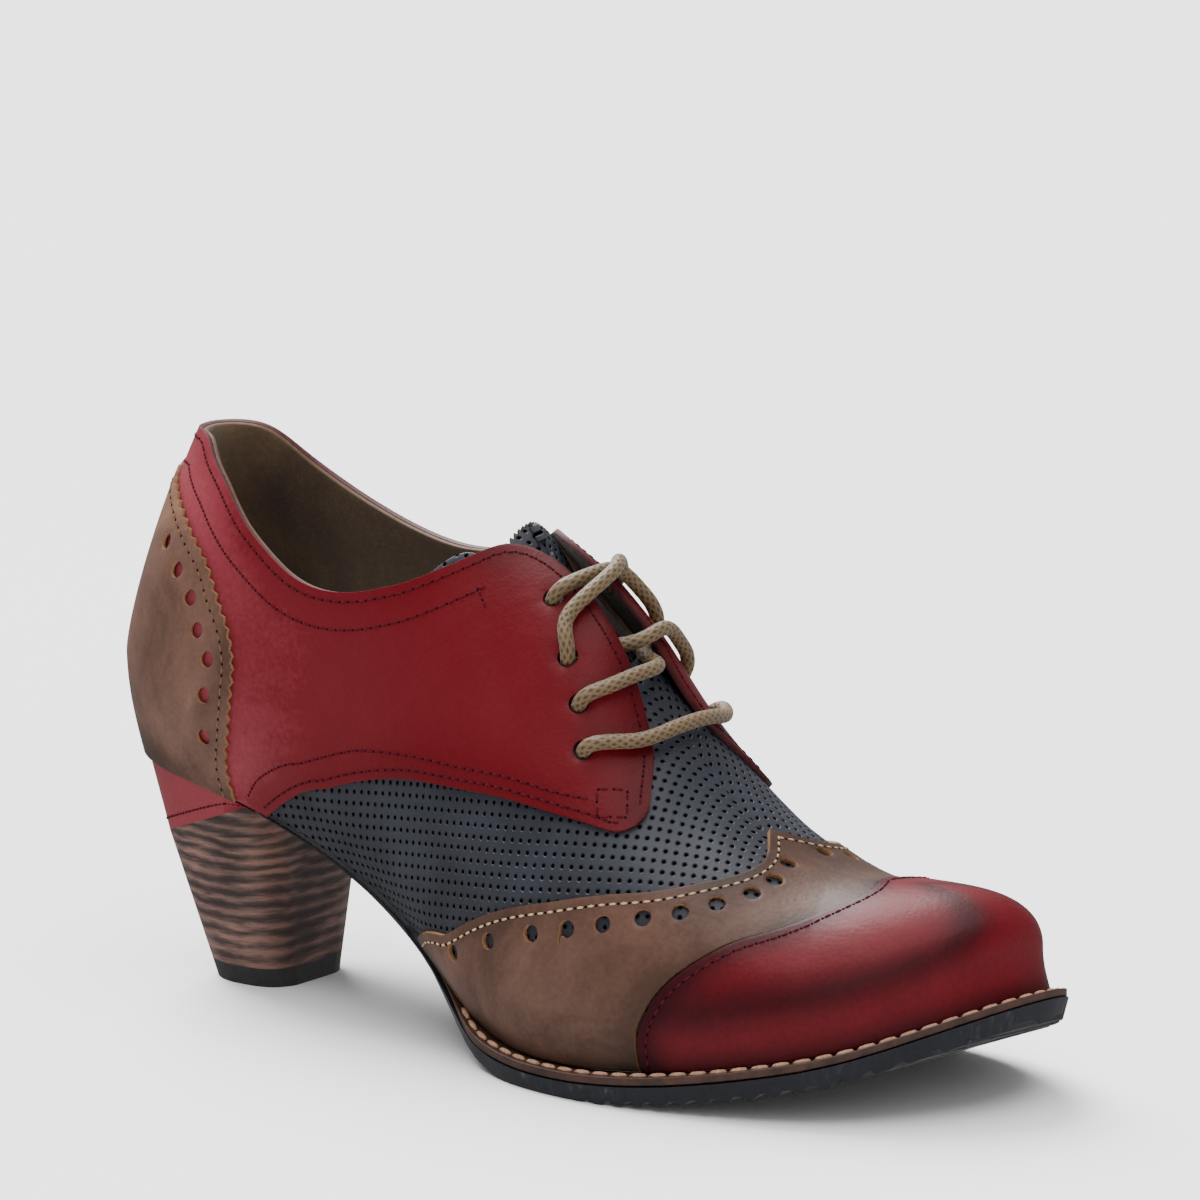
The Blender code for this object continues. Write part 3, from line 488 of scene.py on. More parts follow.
# Soft troughs and ridges where the leather gives: sizes and depth in millimetres, a ridge with a minus
Crease = namedtuple("Crease", "station rise along across depth")
CREASES = (
    Crease(-0.575, 0.30, 4.0, 22, 0.35),
    Crease(-0.605, 0.26, 3.5, 20, 0.30),
    Crease(-0.635, 0.30, 3.5, 16, 0.25),
    Crease(0.585, 0.30, 4.5, 22, 0.35),
    Crease(0.620, 0.28, 4.0, 18, 0.30),
    Crease(-0.655, 0.75, 5.0, 16, 0.35),
    Crease(0.660, 0.78, 5.0, 16, 0.35),
    Crease(-0.360, 0.40, 9.0, 9, 0.50),
    Crease(0.370, 0.40, 9.0, 9, 0.50),
    Crease(-0.230, 0.36, 5.0, 9, 0.30),
    Crease(-0.470, 0.62, 12.0, 7, -0.50),
    Crease(0.470, 0.62, 12.0, 7, -0.50),
    Crease(-0.500, 0.66, 5.0, 5, 0.45),
    Crease(-0.150, 0.30, 6.0, 14, 0.30),
)

# The studio: paper, air, soft lights with the way to each, and the camera fitted to the photograph
FLOOR_LOW, FLOOR_HIGH = "f6f6f6", "f8f8f8"
AIR_LIGHT = 0.40
SOFT_LIGHTS = (
    ("upper_left_light", (-0.75, 0.35, 1.0), 7.0, 40),
    ("overhead_light", (0.1, -0.1, 1.0), 3.4, 60),
    ("front_light", (0.9, -0.9, 0.8), 0.7, 50),
)
VIEW_ANGLES = (37.627, 11.317, -0.321)
VIEW_TARGET = (126.605, -2.977, 100.665)
VIEW_DISTANCE = 1450.323 * MM
SENSOR = 36.0
VIEW_FOCAL = 6543.705 / 1200


def relief(station, rise):
    """How far the creases lift the leather, fading out at the ridge."""
    lift = np.zeros(np.broadcast(station, rise).shape)
    for crease in CREASES:
        along = (station - crease.station) * EDGE_WEIGHT[0] / (crease.along * MM)
        across = (rise - crease.rise) * EDGE_WEIGHT[1] / (crease.across * MM)
        lift -= crease.depth * MM * np.exp(-(along**2) - across**2)
    return lift * ease(1 - rise, 0.0, 0.12)


def on_last(side, where, lift=0.0):
    """Points over the skin at unsigned stations of one side."""
    station, rise = side * where[..., 0], where[..., 1]
    return skin(station, rise, lift + relief(station, rise))


def sideways(where, way, side):
    """How station and rise change for a metre to the left of a way over the skin."""
    middle = np.clip(where, STEP, 1 - STEP)
    steps = np.eye(2) * STEP
    along = (on_last(side, middle + steps[0]) - on_last(side, middle - steps[0])) / (2 * STEP)
    up = (on_last(side, middle + steps[1]) - on_last(side, middle - steps[1])) / (2 * STEP)
    left = np.cross(np.cross(along, up), along * way[:, :1] + up * way[:, 1:])
    left /= np.linalg.norm(left, axis=-1, keepdims=True)
    a, b = (left * along).sum(-1), (left * up).sum(-1)
    e, f, g = (along * along).sum(-1), (along * up).sum(-1), (up * up).sum(-1)
    return np.stack([g * a - f * b, e * b - f * a], -1) / (e * g - f * f)[:, None]


def stepped(line, side, by):
    """A line moved to its left over the skin by a distance, in short steps that follow the skin."""
    part = np.linspace(0, 1, 400)
    where = line(part)
    count = int(np.ceil(abs(by) / MM))
    for _ in range(count):
        where = where + sideways(where, np.gradient(where, axis=0), side) * by / count
    return lambda at: np.stack([np.interp(at, part, where[:, 0]), np.interp(at, part, where[:, 1])], -1)


def measured(line, side):
    """Parts along a line and the length of leather up to each."""
    part = np.linspace(0, 1, 600)
    points = on_last(side, line(part))
    return part, np.r_[0, np.cumsum(np.linalg.norm(np.diff(points, axis=0), axis=1))]


def pinked(line, side, pitch, depth):
    """An edge cut in even teeth, which fade out at both of its ends."""
    part, reach = measured(line, side)
    teeth = max(round(reach[-1] / pitch), 1)

    def at(part_of):
        phase = np.interp(part_of, part, reach) / reach[-1] * teeth * 2
        wave = depth * (2 * np.abs(phase % 2 - 1) - 1) * np.minimum(1, 20 * np.minimum(part_of, 1 - part_of))
        ahead, behind = line(np.clip(part_of + STEP, 0, 1)), line(np.clip(part_of - STEP, 0, 1))
        where = line(part_of)
        return where + sideways(where, ahead - behind, side) * wave[:, None]

    return at


def hide_table(side):
    """Lengths of leather along and around one side of the last, on an even net of stations and rises."""
    station, rise = np.meshgrid(np.linspace(0, 1, 161), np.linspace(0, 1, 81), indexing="ij")
    points = on_last(side, np.stack([station, rise], -1))

    def lengths(axis, pinned):
        steps = np.linalg.norm(np.diff(points, axis=axis), axis=-1)
        reach = np.insert(np.cumsum(steps, axis=axis), 0, 0, axis=axis)
        return reach - np.take(reach, [pinned], axis=axis)

    # The hide is pinned at one column of the net and at one row, and runs out from there
    column, row = 80, 28
    along = lengths(0, column) + points[column : column + 1, :, 0]
    around = lengths(1, row) + points[:, row : row + 1, 2]
    around -= ROW_SLOPE * points[:, row : row + 1, 0]
    return np.stack([along, around], -1)


HIDE = {side: hide_table(side) for side in (-1, 1)}


def hide_place(side, where):
    """Where a point of the panel lay in the flat hide, in metres."""
    table = HIDE[side]
    at = np.clip(where, 0, 1) * (np.array(table.shape[:2]) - 1)
    low = np.minimum(at.astype(int), np.array(table.shape[:2]) - 2)
    (a, b), (i, j) = (at - low).T, low.T
    a, b = a[:, None], b[:, None]
    near = table[i, j] * (1 - a) + table[i + 1, j] * a
    far = table[i, j + 1] * (1 - a) + table[i + 1, j + 1] * a
    return near * (1 - b) + far * b


def linear(colour):
    """An sRGB hex colour as linear red, green, blue and alpha."""
    parts = [int(colour[i : i + 2], 16) / 255 for i in (0, 2, 4)]
    return (*(((c + 0.055) / 1.055) ** 2.4 if c > 0.04045 else c / 12.92 for c in parts), 1.0)


def add(tree, kind, links=None, stops=None, **settings):
    """Adds a node with its settings, its sockets' values or links, and a ramp's colour stops."""
    made = tree.nodes.new("ShaderNode" + kind)
    for name, value in settings.items():
        setattr(made, name, value)
    for socket, value in (links or {}).items():
        if isinstance(value, bpy.types.NodeSocket):
            tree.links.new(value, made.inputs[socket])
        else:
            made.inputs[socket].default_value = value
    if stops:
        elements = made.color_ramp.elements
        for position, colour in stops[1:-1]:
            elements.new(position).color = linear(colour)
        for element, (position, colour) in ((elements[0], stops[0]), (elements[-1], stops[-1])):
            element.position = position
            element.color = linear(colour)
    return made


def new_finish(name, **sockets):
    """A material with its shader's own sockets set."""
    finish = bpy.data.materials.new(name)
    finish.use_nodes = True
    shader = finish.node_tree.nodes["Principled BSDF"]
    for socket, value in sockets.items():
        shader.inputs[socket.replace("_", " ")].default_value = value
    return finish, finish.node_tree, shader


def noise(tree, place, scale, detail, **sockets):
    """Cloudy values over a place."""
    sockets = {"Vector": place, "Scale": scale, "Detail": detail, **sockets}
    return add(tree, "TexNoise", sockets).outputs["Fac"]


def worked(tree, operation, *values):
    """A sum worked out from values or sockets."""
    return add(tree, "Math", dict(enumerate(values)), operation=operation).outputs[0]


def ranged(tree, value, before, after, **settings):
    """A value carried from one range to another."""
    ends = {"From Min": before[0], "From Max": before[1], "To Min": after[0], "To Max": after[1]}
    return add(tree, "MapRange", {"Value": value, **ends}, **settings).outputs["Result"]


def coloured(tree, shader, tone, stops):
    """Colours the surface by a tone."""
    ramp = add(tree, "ValToRGB", {"Fac": tone}, stops=stops)
    tree.links.new(ramp.outputs["Color"], shader.inputs["Base Color"])


def bumped(tree, shader, height, depth, under=None, strength=1.0):
    """Raises the surface by a height, over an earlier bump if one is given."""
    sockets = {"Height": height, "Strength": strength, "Distance": depth}
    if under:
        sockets["Normal"] = under
    normal = add(tree, "Bump", sockets).outputs["Normal"]
    tree.links.new(normal, shader.inputs["Normal"])
    return normal


def grained(tree, shader, place, grain, depth, roughness, wear=None):
    """Leather grain as a bump, and a roughness that varies a little over the hide."""
    pores = add(tree, "TexVoronoi", {"Vector": place, "Scale": 1 / grain}, feature="F1")
    fibre = noise(tree, place, 0.35 / grain, 5.0, Roughness=0.65)
    normal = bumped(tree, shader, worked(tree, "MULTIPLY", pores.outputs["Distance"], fibre), depth)
    if wear:
        normal = bumped(tree, shader, wear, depth * 6, normal)
    gloss = ranged(tree, noise(tree, place, 45.0, 3.0), (0.3, 0.7), (roughness - 0.06, roughness + 0.08))
    tree.links.new(gloss, shader.inputs["Roughness"])
    return normal


def burnished_calf(name, stops, grain, depth, roughness, coat, mottle, shine=0.25):
    """Calf dyed through and burnished by hand: the colour lies darker where the burnish_and_painted_light
    attribute is high, which holds the burnish and also the painted shade and painted highlight of each panel.
    """
    sockets = dict(IOR=1.5, Coat_Weight=coat, Coat_Roughness=0.22, Specular_IOR_Level=shine)
    finish, tree, shader = new_finish(name, **sockets)
    place = add(tree, "TexCoord").outputs["Object"]
    burnish_and_painted_light = add(tree, "Attribute", attribute_name="burnish_and_painted_light").outputs["Fac"]
    cloud = noise(tree, place, 32.0, 6.0, Roughness=0.6, Distortion=0.6)
    cloudy = worked(tree, "SUBTRACT", cloud, 0.5)
    tone = worked(tree, "MULTIPLY_ADD", cloudy, mottle, burnish_and_painted_light)
    specked = worked(tree, "MULTIPLY_ADD", noise(tree, place, 900.0, 2.0), 0.16, tone)
    coloured(tree, shader, worked(tree, "SUBTRACT", specked, 0.08), stops)
    grained(tree, shader, place, grain, depth, roughness, cloud)
    return finish


def red_quarter_leather():
    # Waxed calf of the quarters, dyed through and rubbed with wine red wax towards the facings: a satin wine
    # red that is paler over the heel and deepest along its seams and its front edge
    stops = ((0.0, "80373f"), (0.35, "5a1018"), (0.62, "52040d"), (1.0, "410309"))
    return burnished_calf("waxed_red_calf", stops, 0.8 * MM, 0.08 * MM, 0.46, 0.02, 0.35, 0.11)


def red_cover_leather():
    # Thin red skiver stretched over the seat of the heel, never burnished: paler, duller and more even
    stops = ((0.0, "6e1d27"), (0.35, "5c141d"), (0.62, "470d15"), (1.0, "2c0408"))
    return burnished_calf("thin_red_skiver", stops, 0.7 * MM, 0.05 * MM, 0.5, 0.0, 0.3)


def red_cap_leather():
    # The same calf, polished over the toe: clear red in its middle, rubbed almost black along its seam, and
    # darkened by painted shade just above the welt
    stops = ((0.0, "6a0f1a"), (0.3, "4c0710"), (0.6, "31040a"), (1.0, "170305"))
    return burnished_calf("polished_red_calf", stops, 1.0 * MM, 0.06 * MM, 0.42, 0.03, 0.3, 0.13)


def brown_wing_leather():
    # Oiled grey-brown calf with a pulled-up look: warm where it is stretched and dark along its rubbed edge,
    # with painted shade near the welt and sole, on the wing's instep and beside the cap, and a painted
    # highlight high on the counter
    stops = ((0.0, "835e47"), (0.3, "5b4136"), (0.55, "422d24"), (1.0, "17110d"))
    return burnished_calf("oiled_brown_calf", stops, 1.2 * MM, 0.07 * MM, 0.46, 0.03, 1.1, 0.16)


def punched_black_leather():
    # Black nappa punched with needles in even rows: satin between the holes, and pits painted near black for
    # the shade inside them
    finish, tree, shader = new_finish("punched_black_nappa", IOR=1.5)
    place = add(tree, "TexCoord").outputs["Object"]
    hide = add(tree, "UVMap", uv_map="Hide").outputs["UV"]
    rows = add(tree, "Mapping", {"Vector": hide, "Scale": (1 / PIN_PITCH,) * 3})
    cell = add(tree, "VectorMath", {0: rows.outputs[0]}, operation="FRACTION")
    middle = add(tree, "VectorMath", {0: cell.outputs[0], 1: (0.5, 0.5, 0)}, operation="SUBTRACT")
    flat = add(tree, "VectorMath", {0: middle.outputs[0], 1: (1, 1, 0)}, operation="MULTIPLY")
    reach = add(tree, "VectorMath", {0: flat.outputs[0]}, operation="LENGTH").outputs["Value"]
    edge = PIN_RADIUS / PIN_PITCH
    pit, lip = (
        ranged(tree, reach, (edge * inner, edge * outer), (0.0, 1.0), interpolation_type="SMOOTHSTEP")
        for inner, outer in ((0.72, 1.12), (0.75, 1.5))
    )
    cloud = noise(tree, place, 60.0, 5.0)
    black = add(tree, "ValToRGB", {"Fac": cloud}, stops=((0.3, "1e2027"), (0.7, "2a2c35")))
    # The pits are painted near black, as the shade inside each punched hole
    tones = {"Factor": pit, 6: linear("020202"), 7: black.outputs["Color"]}
    colour = add(tree, "Mix", tones, data_type="RGBA")
    tree.links.new(colour.outputs[2], shader.inputs["Base Color"])
    tree.links.new(worked(tree, "MULTIPLY", pit, 0.3), shader.inputs["Specular IOR Level"])
    grain = grained(tree, shader, place, 0.9 * MM, 0.05 * MM, 0.5)
    bumped(tree, shader, lip, 0.24 * MM, grain)
    return finish


def brown_suede():
    # Pigskin lining, brushed to a short nap: flat dark brown that lightens where the nap is stroked
    sockets = dict(Roughness=0.92, IOR=1.45, Sheen_Weight=0.35, Sheen_Roughness=0.5)
    finish, tree, shader = new_finish("brushed_pigskin_lining", **sockets)
    place = add(tree, "TexCoord").outputs["Object"]
    nap = noise(tree, place, 700.0, 6.0, Roughness=0.7)
    stroke = noise(tree, place, 28.0, 4.0, Distortion=1.2)
    tone = worked(tree, "MULTIPLY_ADD", nap, 0.45, stroke)
    coloured(tree, shader, tone, ((0.45, "3b2b20"), (0.75, "55402a"), (0.95, "695238")))
    bumped(tree, shader, nap, 0.15 * MM, strength=0.8)
    return finish


def plain_finish(name, low, high, roughness, scale, depth, **sockets):
    """A finish of one colour that varies between two tones, with a bump of the same grain."""
    finish, tree, shader = new_finish(name, Roughness=roughness, **sockets)
    grain = noise(tree, add(tree, "TexCoord").outputs["Object"], scale, 5.0, Roughness=0.65)
    coloured(tree, shader, grain, ((0.32, low), (0.68, high)))
    bumped(tree, shader, grain, depth)
    return finish


def matt_finish(name, low, high, scale, depth=0.1 * MM):
    """Thread and cord, which hardly shine."""
    return plain_finish(name, low, high, 0.85, scale, depth, Specular_IOR_Level=0.1)


def scuffed_rubber():
    # Moulded rubber of the sole: charcoal, a little glossy on its edge, with pale hairline scuffs
    finish, tree, shader = new_finish("moulded_sole_rubber", IOR=1.5, Specular_IOR_Level=0.4)
    place = add(tree, "TexCoord").outputs["Object"]
    drawn = {"Vector": place, "Scale": (900.0, 900.0, 60.0), "Rotation": (0.5, 0.3, 0.0)}
    hair = noise(tree, add(tree, "Mapping", drawn).outputs[0], 1.0, 3.0)
    patch = noise(tree, place, 55.0, 2.0)
    scuff = worked(tree, "MULTIPLY", hair, patch)
    coloured(tree, shader, scuff, ((0.0, "14151a"), (0.34, "1b1c23"), (0.43, "282932"), (0.52, "5a5b62")))
    bumped(tree, shader, noise(tree, place, 1400.0, 3.0), 0.08 * MM)
    tree.links.new(ranged(tree, patch, (0.3, 0.7), (0.38, 0.55)), shader.inputs["Roughness"])
    return finish


def stacked_lifts():
    # Leather lifts glued in a stack and turned: pale and dark bands that wander, under a dry cut grain
    finish, tree, shader = new_finish("stacked_leather_lifts", IOR=1.45, Roughness=0.55)
    place = add(tree, "TexCoord").outputs["Object"]
    drift = noise(tree, place, 42.0, 3.0, Roughness=0.45)
    height = add(tree, "SeparateXYZ", {0: place}).outputs["Z"]
    warped = worked(tree, "MULTIPLY_ADD", drift, LIFT_DRIFT, height)
    band = worked(tree, "SINE", worked(tree, "MULTIPLY", warped, 2 * math.pi / LIFT_PITCH))
    half = worked(tree, "MULTIPLY_ADD", band, 0.24, 0.5)
    streaked = add(tree, "Mapping", {"Vector": place, "Scale": (160.0, 160.0, 1500.0)}).outputs[0]
    fibre = noise(tree, streaked, 1.0, 5.0, Roughness=0.7)
    both = worked(tree, "ADD", fibre, noise(tree, place, 60.0, 3.0))
    tone = worked(tree, "MULTIPLY_ADD", worked(tree, "SUBTRACT", both, 1.0), 1.5, half)
    coloured(tree, shader, tone, ((0.08, "2b1c18"), (0.35, "3b2924"), (0.6, "543c34"), (0.92, "704f44")))
    bumped(tree, shader, tone, 0.12 * MM, strength=0.7)
    return finish


def waxed_braid():
    # Round cotton lace, braided over a core and waxed: khaki strands with dark lines of painted shade between
    # them
    finish, tree, shader = new_finish("waxed_cotton_braid", IOR=1.5, Roughness=0.55, Sheen_Weight=0.1)
    strand = add(tree, "Attribute", attribute_name="burnish_and_painted_light").outputs["Fac"]
    fibre = noise(tree, add(tree, "TexCoord").outputs["Object"], 1500.0, 4.0)
    tone = worked(tree, "MULTIPLY_ADD", fibre, 0.5, strand)
    coloured(tree, shader, tone, ((0.2, "20160c"), (0.55, "46351f"), (0.95, "66502f")))
    bumped(tree, shader, fibre, 0.1 * MM)
    return finish


def add_grid(bm, columns, rows):
    """Adds a flat grid: its vertices, its faces, and how far along and up each vertex is, 0 to 1."""
    grid = bmesh.ops.create_grid(bm, x_segments=columns, y_segments=rows, size=1.0)["verts"]
    parts = np.array([vert.co[:2] for vert in grid]) / 2 + 0.5
    return grid, list({face for vert in grid for face in vert.link_faces}), parts[:, 0], parts[:, 1]


def between(low, high, side_line=None):
    """Edge points between a low and a high line, with a curved line at their start if one is given."""

    def at(along, up):
        along, up = along[:, None], up[:, None]
        where = low(along[:, 0]) * (1 - up) + high(along[:, 0]) * up
        if side_line:
            start = np.zeros(1)
            where += (1 - along) * (side_line(up[:, 0]) - low(start) * (1 - up) - high(start) * up)
        return where

    return at


def placed(name, data):
    """A new object in the scene."""
    made = bpy.data.objects.new(name, data)
    bpy.context.scene.collection.objects.link(made)
    return made


def from_bmesh(name, bm, finishes):
    """An object with the shape of a bmesh and its materials."""
    mesh = bpy.data.meshes.new(name)
    bm.to_mesh(mesh)
    bm.free()
    for finish in finishes:
        mesh.materials.append(finish)
    return placed(name, mesh)


def new_piece(name, bm, finishes, nodes=()):
    """Makes a piece of the shoe from a bmesh drawn in the frame of the last."""
    piece = from_bmesh(name, bm, finishes)
    piece.data.transform(Matrix.Translation((-CENTRE_X, -CENTRE_Y, 0)))
    piece.data.shade_smooth()
    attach(piece, "root")
    if nodes:
        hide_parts(*nodes)
    return piece


def round_edges(piece, width, segments=2, angle=50):
    """Rounds the corners that are sharper than an angle."""
    bevel = piece.modifiers.new("Round", "BEVEL")
    bevel.width = width
    bevel.segments = segments
    bevel.limit_method = "ANGLE"
    bevel.angle_limit = math.radians(angle)


def punch(bm, side, hole, radius, face):
    """Cuts a round hole: the leather inside it goes, and the ring around it is drawn to the circle."""
    where = np.array([hole])
    lift = face(side * where[:, 0], where[:, 1])
    centre = Vector(on_last(side, where, lift)[0])
    axis = (Vector(on_last(side, where, lift + MM)[0]) - centre).normalized()
    inside = {vert for vert in bm.verts if (vert.co - centre).length < radius}
    ring = {vert for old in inside for face_of in old.link_faces for vert in face_of.verts} - inside
    bmesh.ops.delete(bm, geom=list(inside), context="VERTS")
    for vert in ring:
        away = vert.co - centre
        above = axis * away.dot(axis)
        vert.co = centre + above + (away - above).normalized() * radius


def cut_leather(name, finishes, strips, face, wall, nodes=(), tone=None, holes=(), radius=0.0):
    """A panel on both sides of the shoe, from strips of the skin, with its wall, lining and cut edges.

    Each strip is its edge points on the outer side and on the inner side, its columns and its rows.
    """
    bm = bmesh.new()
    hide = bm.loops.layers.uv.new("Hide")
    burnish_and_painted_light = bm.verts.layers.float.new("burnish_and_painted_light")
    for outer, inner, columns, rows in strips:
        for side, edges in ((-1, outer), (1, inner)):
            grid, faces, along, up = add_grid(bm, columns, rows)
            where = edges(along, up)
            station = side * where[:, 0]
            points = on_last(side, where, face(station, where[:, 1]))
            # The two sides meet halfway, along the ridge and at both ends
            meets = (where[:, 1] > 0.9999) | (where[:, 0] < 1e-6) | (where[:, 0] > 0.999999)
            mirrored = on_last(-side, where[meets], face(-station[meets], where[meets, 1]))
            points[meets] = (points[meets] + mirrored) / 2
            flat = dict(zip(grid, hide_place(side, where).tolist()))
            tones = tone(where) if tone else np.zeros(len(grid))
            # Each vertex keeps its panel's tone: the real burnish, and the painted shade and painted
            # highlight that the tone functions add
            for vert, point, dark in zip(grid, points, tones):
                vert.co = point
                vert[burnish_and_painted_light] = dark
            for leather in faces:
                for loop in leather.loops:
                    loop[hide].uv = flat[loop.vert]
            if side > 0:
                bmesh.ops.reverse_faces(bm, faces=faces)
    bmesh.ops.remove_doubles(bm, verts=bm.verts, dist=WELD)
    for hole in holes:
        for side in (-1, 1):
            punch(bm, side, hole, radius, face)
    piece = new_piece(name, bm, finishes, nodes)
    solid = piece.modifiers.new("Wall", "SOLIDIFY")
    solid.thickness = wall
    solid.offset = -1
    solid.material_offset = 1
    solid.material_offset_rim = 2
    round_edges(piece, RIM_ROUND)
    return piece


def mould(name, finish, low, high, columns, rows, nodes, corner, angle=35):
    """A closed block between a low and a high face, with its corners rounded."""
    bm = bmesh.new()
    for place in (low, high):
        grid, faces, along, up = add_grid(bm, columns, rows)
        for vert, point in zip(grid, place(along, up)):
            vert.co = point
        if place is low:
            bmesh.ops.reverse_faces(bm, faces=faces)
    bmesh.ops.bridge_loops(bm, edges=[edge for edge in bm.edges if edge.is_boundary])
    bmesh.ops.remove_doubles(bm, verts=bm.verts, dist=WELD)
    bmesh.ops.recalc_face_normals(bm, faces=bm.faces)
    piece = new_piece(name, bm, [finish], nodes)
    round_edges(piece, corner, 3, angle)
    piece.data.set_sharp_from_angle(angle=math.radians(angle))
    return piece


def sew(bm, points, above, thread, needle=None):
    """Sews one row of stitches along a line of points, and sinks a needle hole at the start of each."""
    reach = np.r_[0, np.cumsum(np.linalg.norm(np.diff(points, axis=0), axis=1))]
    count = int(reach[-1] / thread.pitch)
    for number in range(count):
        at = (number + 0.5) * reach[-1] / count
        spot, ahead, over = (
            Vector([np.interp(at + shift, reach, line[:, axis]) for axis in range(3)])
            for line, shift in ((points, 0), (points, STITCH_AHEAD), (above, 0))
        )
        way, up = (ahead - spot).normalized(), (over - spot).normalized()
        across = up.cross(way).normalized()
        turn = Matrix((way, across, up)).transposed().to_4x4()

        def bead(into, middle, size):
            place = Matrix.Translation(middle) @ turn @ Matrix.Diagonal((*size, 1))
            bmesh.ops.create_uvsphere(into, u_segments=6, v_segments=4, radius=1.0, matrix=place)

        bead(bm, spot, (thread.length / 2, thread.width / 2, thread.height / 2))
        if needle:
            bead(needle, spot - way * thread.pitch / 2 - up * STITCH_LIFT, PRICK)


def sew_panel(bm, needle, line, face, start=0.0, end=1.0):
    """Sews a row along a line of the skin on both sides of the shoe."""
    for side in (-1, 1):
        drawn = line[side] if isinstance(line, dict) else line
        where = drawn(np.linspace(start, end, 400))
        lift = face(side * where[:, 0], where[:, 1])
        row, above = (on_last(side, where, lift + more) for more in (STITCH_LIFT, MM))
        sew(bm, row, above, FINE_THREAD, needle)


def sewn(name, rows, finish, hole_shade):
    """One piece that holds several rows of one thread, and one of their needle holes."""
    bm, needle = bmesh.new(), bmesh.new()
    for row in rows:
        sew_panel(bm, needle, **row)
    new_piece(name, bm, [finish])
    new_piece(name + "_pricks", needle, [hole_shade])


def level(height):
    """A face of constant height above the skin."""
    return lambda station, rise: np.full(np.shape(station), height)


def facing_face(station, rise):
    """Height of the quarters' face over the skin."""
    return PANEL_FACE + facing_lift(station, rise)


def nearness(where, line, reach):
    """1 on a line of edge points, and down to 0 at a distance from it."""
    marks = line(np.linspace(0, 1, 160)) * EDGE_WEIGHT
    gaps = np.linalg.norm((where * EDGE_WEIGHT)[:, None] - marks[None], axis=-1).min(axis=1)
    return np.exp(-((gaps / reach) ** 2))


def quarter_tone(where):
    """How dark the quarters are: most at the facings and along the seams, least over the heel."""
    station, rise = where.T
    facing = smooth_edge(COLLAR_OUTER + FACING_EDGE)
    lower = smooth_edge(QUARTER_LOWER_EDGE)
    tone = 0.22 + 0.30 * ease(station, 0.25, 0.55)
    tone += 0.30 * nearness(where, stretch(facing, 0.72, 1), 7 * MM)
    tone += 0.16 * nearness(where, facing, 4 * MM)
    tone += 0.22 * nearness(where, lower, 5 * MM)
    return tone - 0.14 * nearness(where, stretch(facing, 0.0, 0.3), 14 * MM)


def cap_tone(where):
    """How dark the cap is: most along its seam and over its crown, and at the welt, where the darkening is
    painted shade.
    """
    station, rise = where.T
    seam = nearness(where, smooth_edge(CAP_EDGE), 4.5 * MM)
    crown = nearness(where, smooth_edge(CAP_CROWN), 8 * MM)
    # Painted shade: darker in a narrow band just above the welt, where the cap meets the sole
    low = np.exp(-((rise / 0.08) ** 2))
    return 0.20 + 0.42 * seam + 0.36 * crown + 0.26 * low


def wing_tone(where):
    """How dark the wing is: a little darker along its edge, and darker with painted shade on the instep,
    beside the cap and just above the welt.
    """
    edge = nearness(where, smooth_edge(WING_EDGE), 3 * MM)
    # Painted shade beside the cap, on the instep and just above the welt, in place of the light that falls
    # there
    cap = nearness(where, smooth_edge(CAP_EDGE), 4 * MM)
    top = ease(where[:, 1], 0.45, 0.85)
    return 0.36 + 0.12 * edge + 0.25 * cap + 0.30 * top + 0.25 * np.exp(-((where[:, 1] / 0.06) ** 2))


def counter_tone(where):
    """How dark the counter is: darkest at the sole, as painted shade, and a little lighter high up round the
    heel, as a painted highlight.
    """
    return 0.40 + 0.25 * np.exp(-((where[:, 1] / 0.08) ** 2)) - 0.1 * ease(where[:, 1], 0.3, 0.6)


def make_vamp(black, suede, tan):
    """The black vamp with its suede lining: one shell under all the panels, open at the collar."""
    over = smooth_edge([Edge(station, 1) for station in (THROAT_EDGE[-1].station, 0.66, 0.78, 0.9, 1.0)])
    low = straight_edge(Edge(0, 0), Edge(1, 0))
    toe = between(stretch(low, VAMP_TURN, 1), over)
    opening = stretch(low, 0, VAMP_TURN)
    outer, inner = (smooth_edge(collar + THROAT_EDGE) for collar in (COLLAR_OUTER, COLLAR_INNER))
    strips = ((between(opening, outer), between(opening, inner), 120, 44), (toe, toe, 80, 44))
    cut_leather("vamp", [black, suede, tan], strips, level(VAMP_FACE), VAMP_WALL, ["upper"])


def make_quarters(red, suede, cut):
    """The red quarters: round the back above the counter, and forward to the facings."""
    tucked = moved(COUNTER_EDGE, Edge(-TUCK.station, -TUCK.rise))
    counter = smooth_edge([Edge(max(edge.station, 0), max(edge.rise, QUARTER_LOW)) for edge in tucked])
    lower = smooth_edge(QUARTER_LOWER_EDGE)
    foot = straight_edge(counter(np.ones(1))[0], QUARTER_LOWER_EDGE[0])
    middle = smooth_edge((Edge(*counter(np.full(1, COUNTER_TURN))[0]),) + QUARTER_MIDDLE)
    front = stretch(counter, 1, COUNTER_TURN)
    foot_columns, lower_columns, back_columns, rows = 12, 108, 60, 28
    foot_part = foot_columns / (foot_columns + lower_columns)
    below_foot = between(foot, stretch(middle, 0, foot_part), front)
    below = between(lower, stretch(middle, foot_part, 1))
    strips = [(below_foot, below_foot, foot_columns, rows), (below, below, lower_columns, rows)]
    tops = [smooth_edge(collar + FACING_EDGE) for collar in (COLLAR_OUTER, COLLAR_INNER)]
    backs = [between(stretch(counter, 0, COUNTER_TURN), stretch(top, 0, COLLAR_TURN)) for top in tops]
    fronts = [between(middle, stretch(top, COLLAR_TURN, 1)) for top in tops]
    strips.append((*backs, back_columns, rows))
    strips.append((*fronts, foot_columns + lower_columns, rows))
    cut_leather(
        "laced_quarters", [red, suede, cut], strips, facing_face, PANEL_WALL,
        ["quarters"], quarter_tone, EYELETS, HOLE_RADIUS,
    )


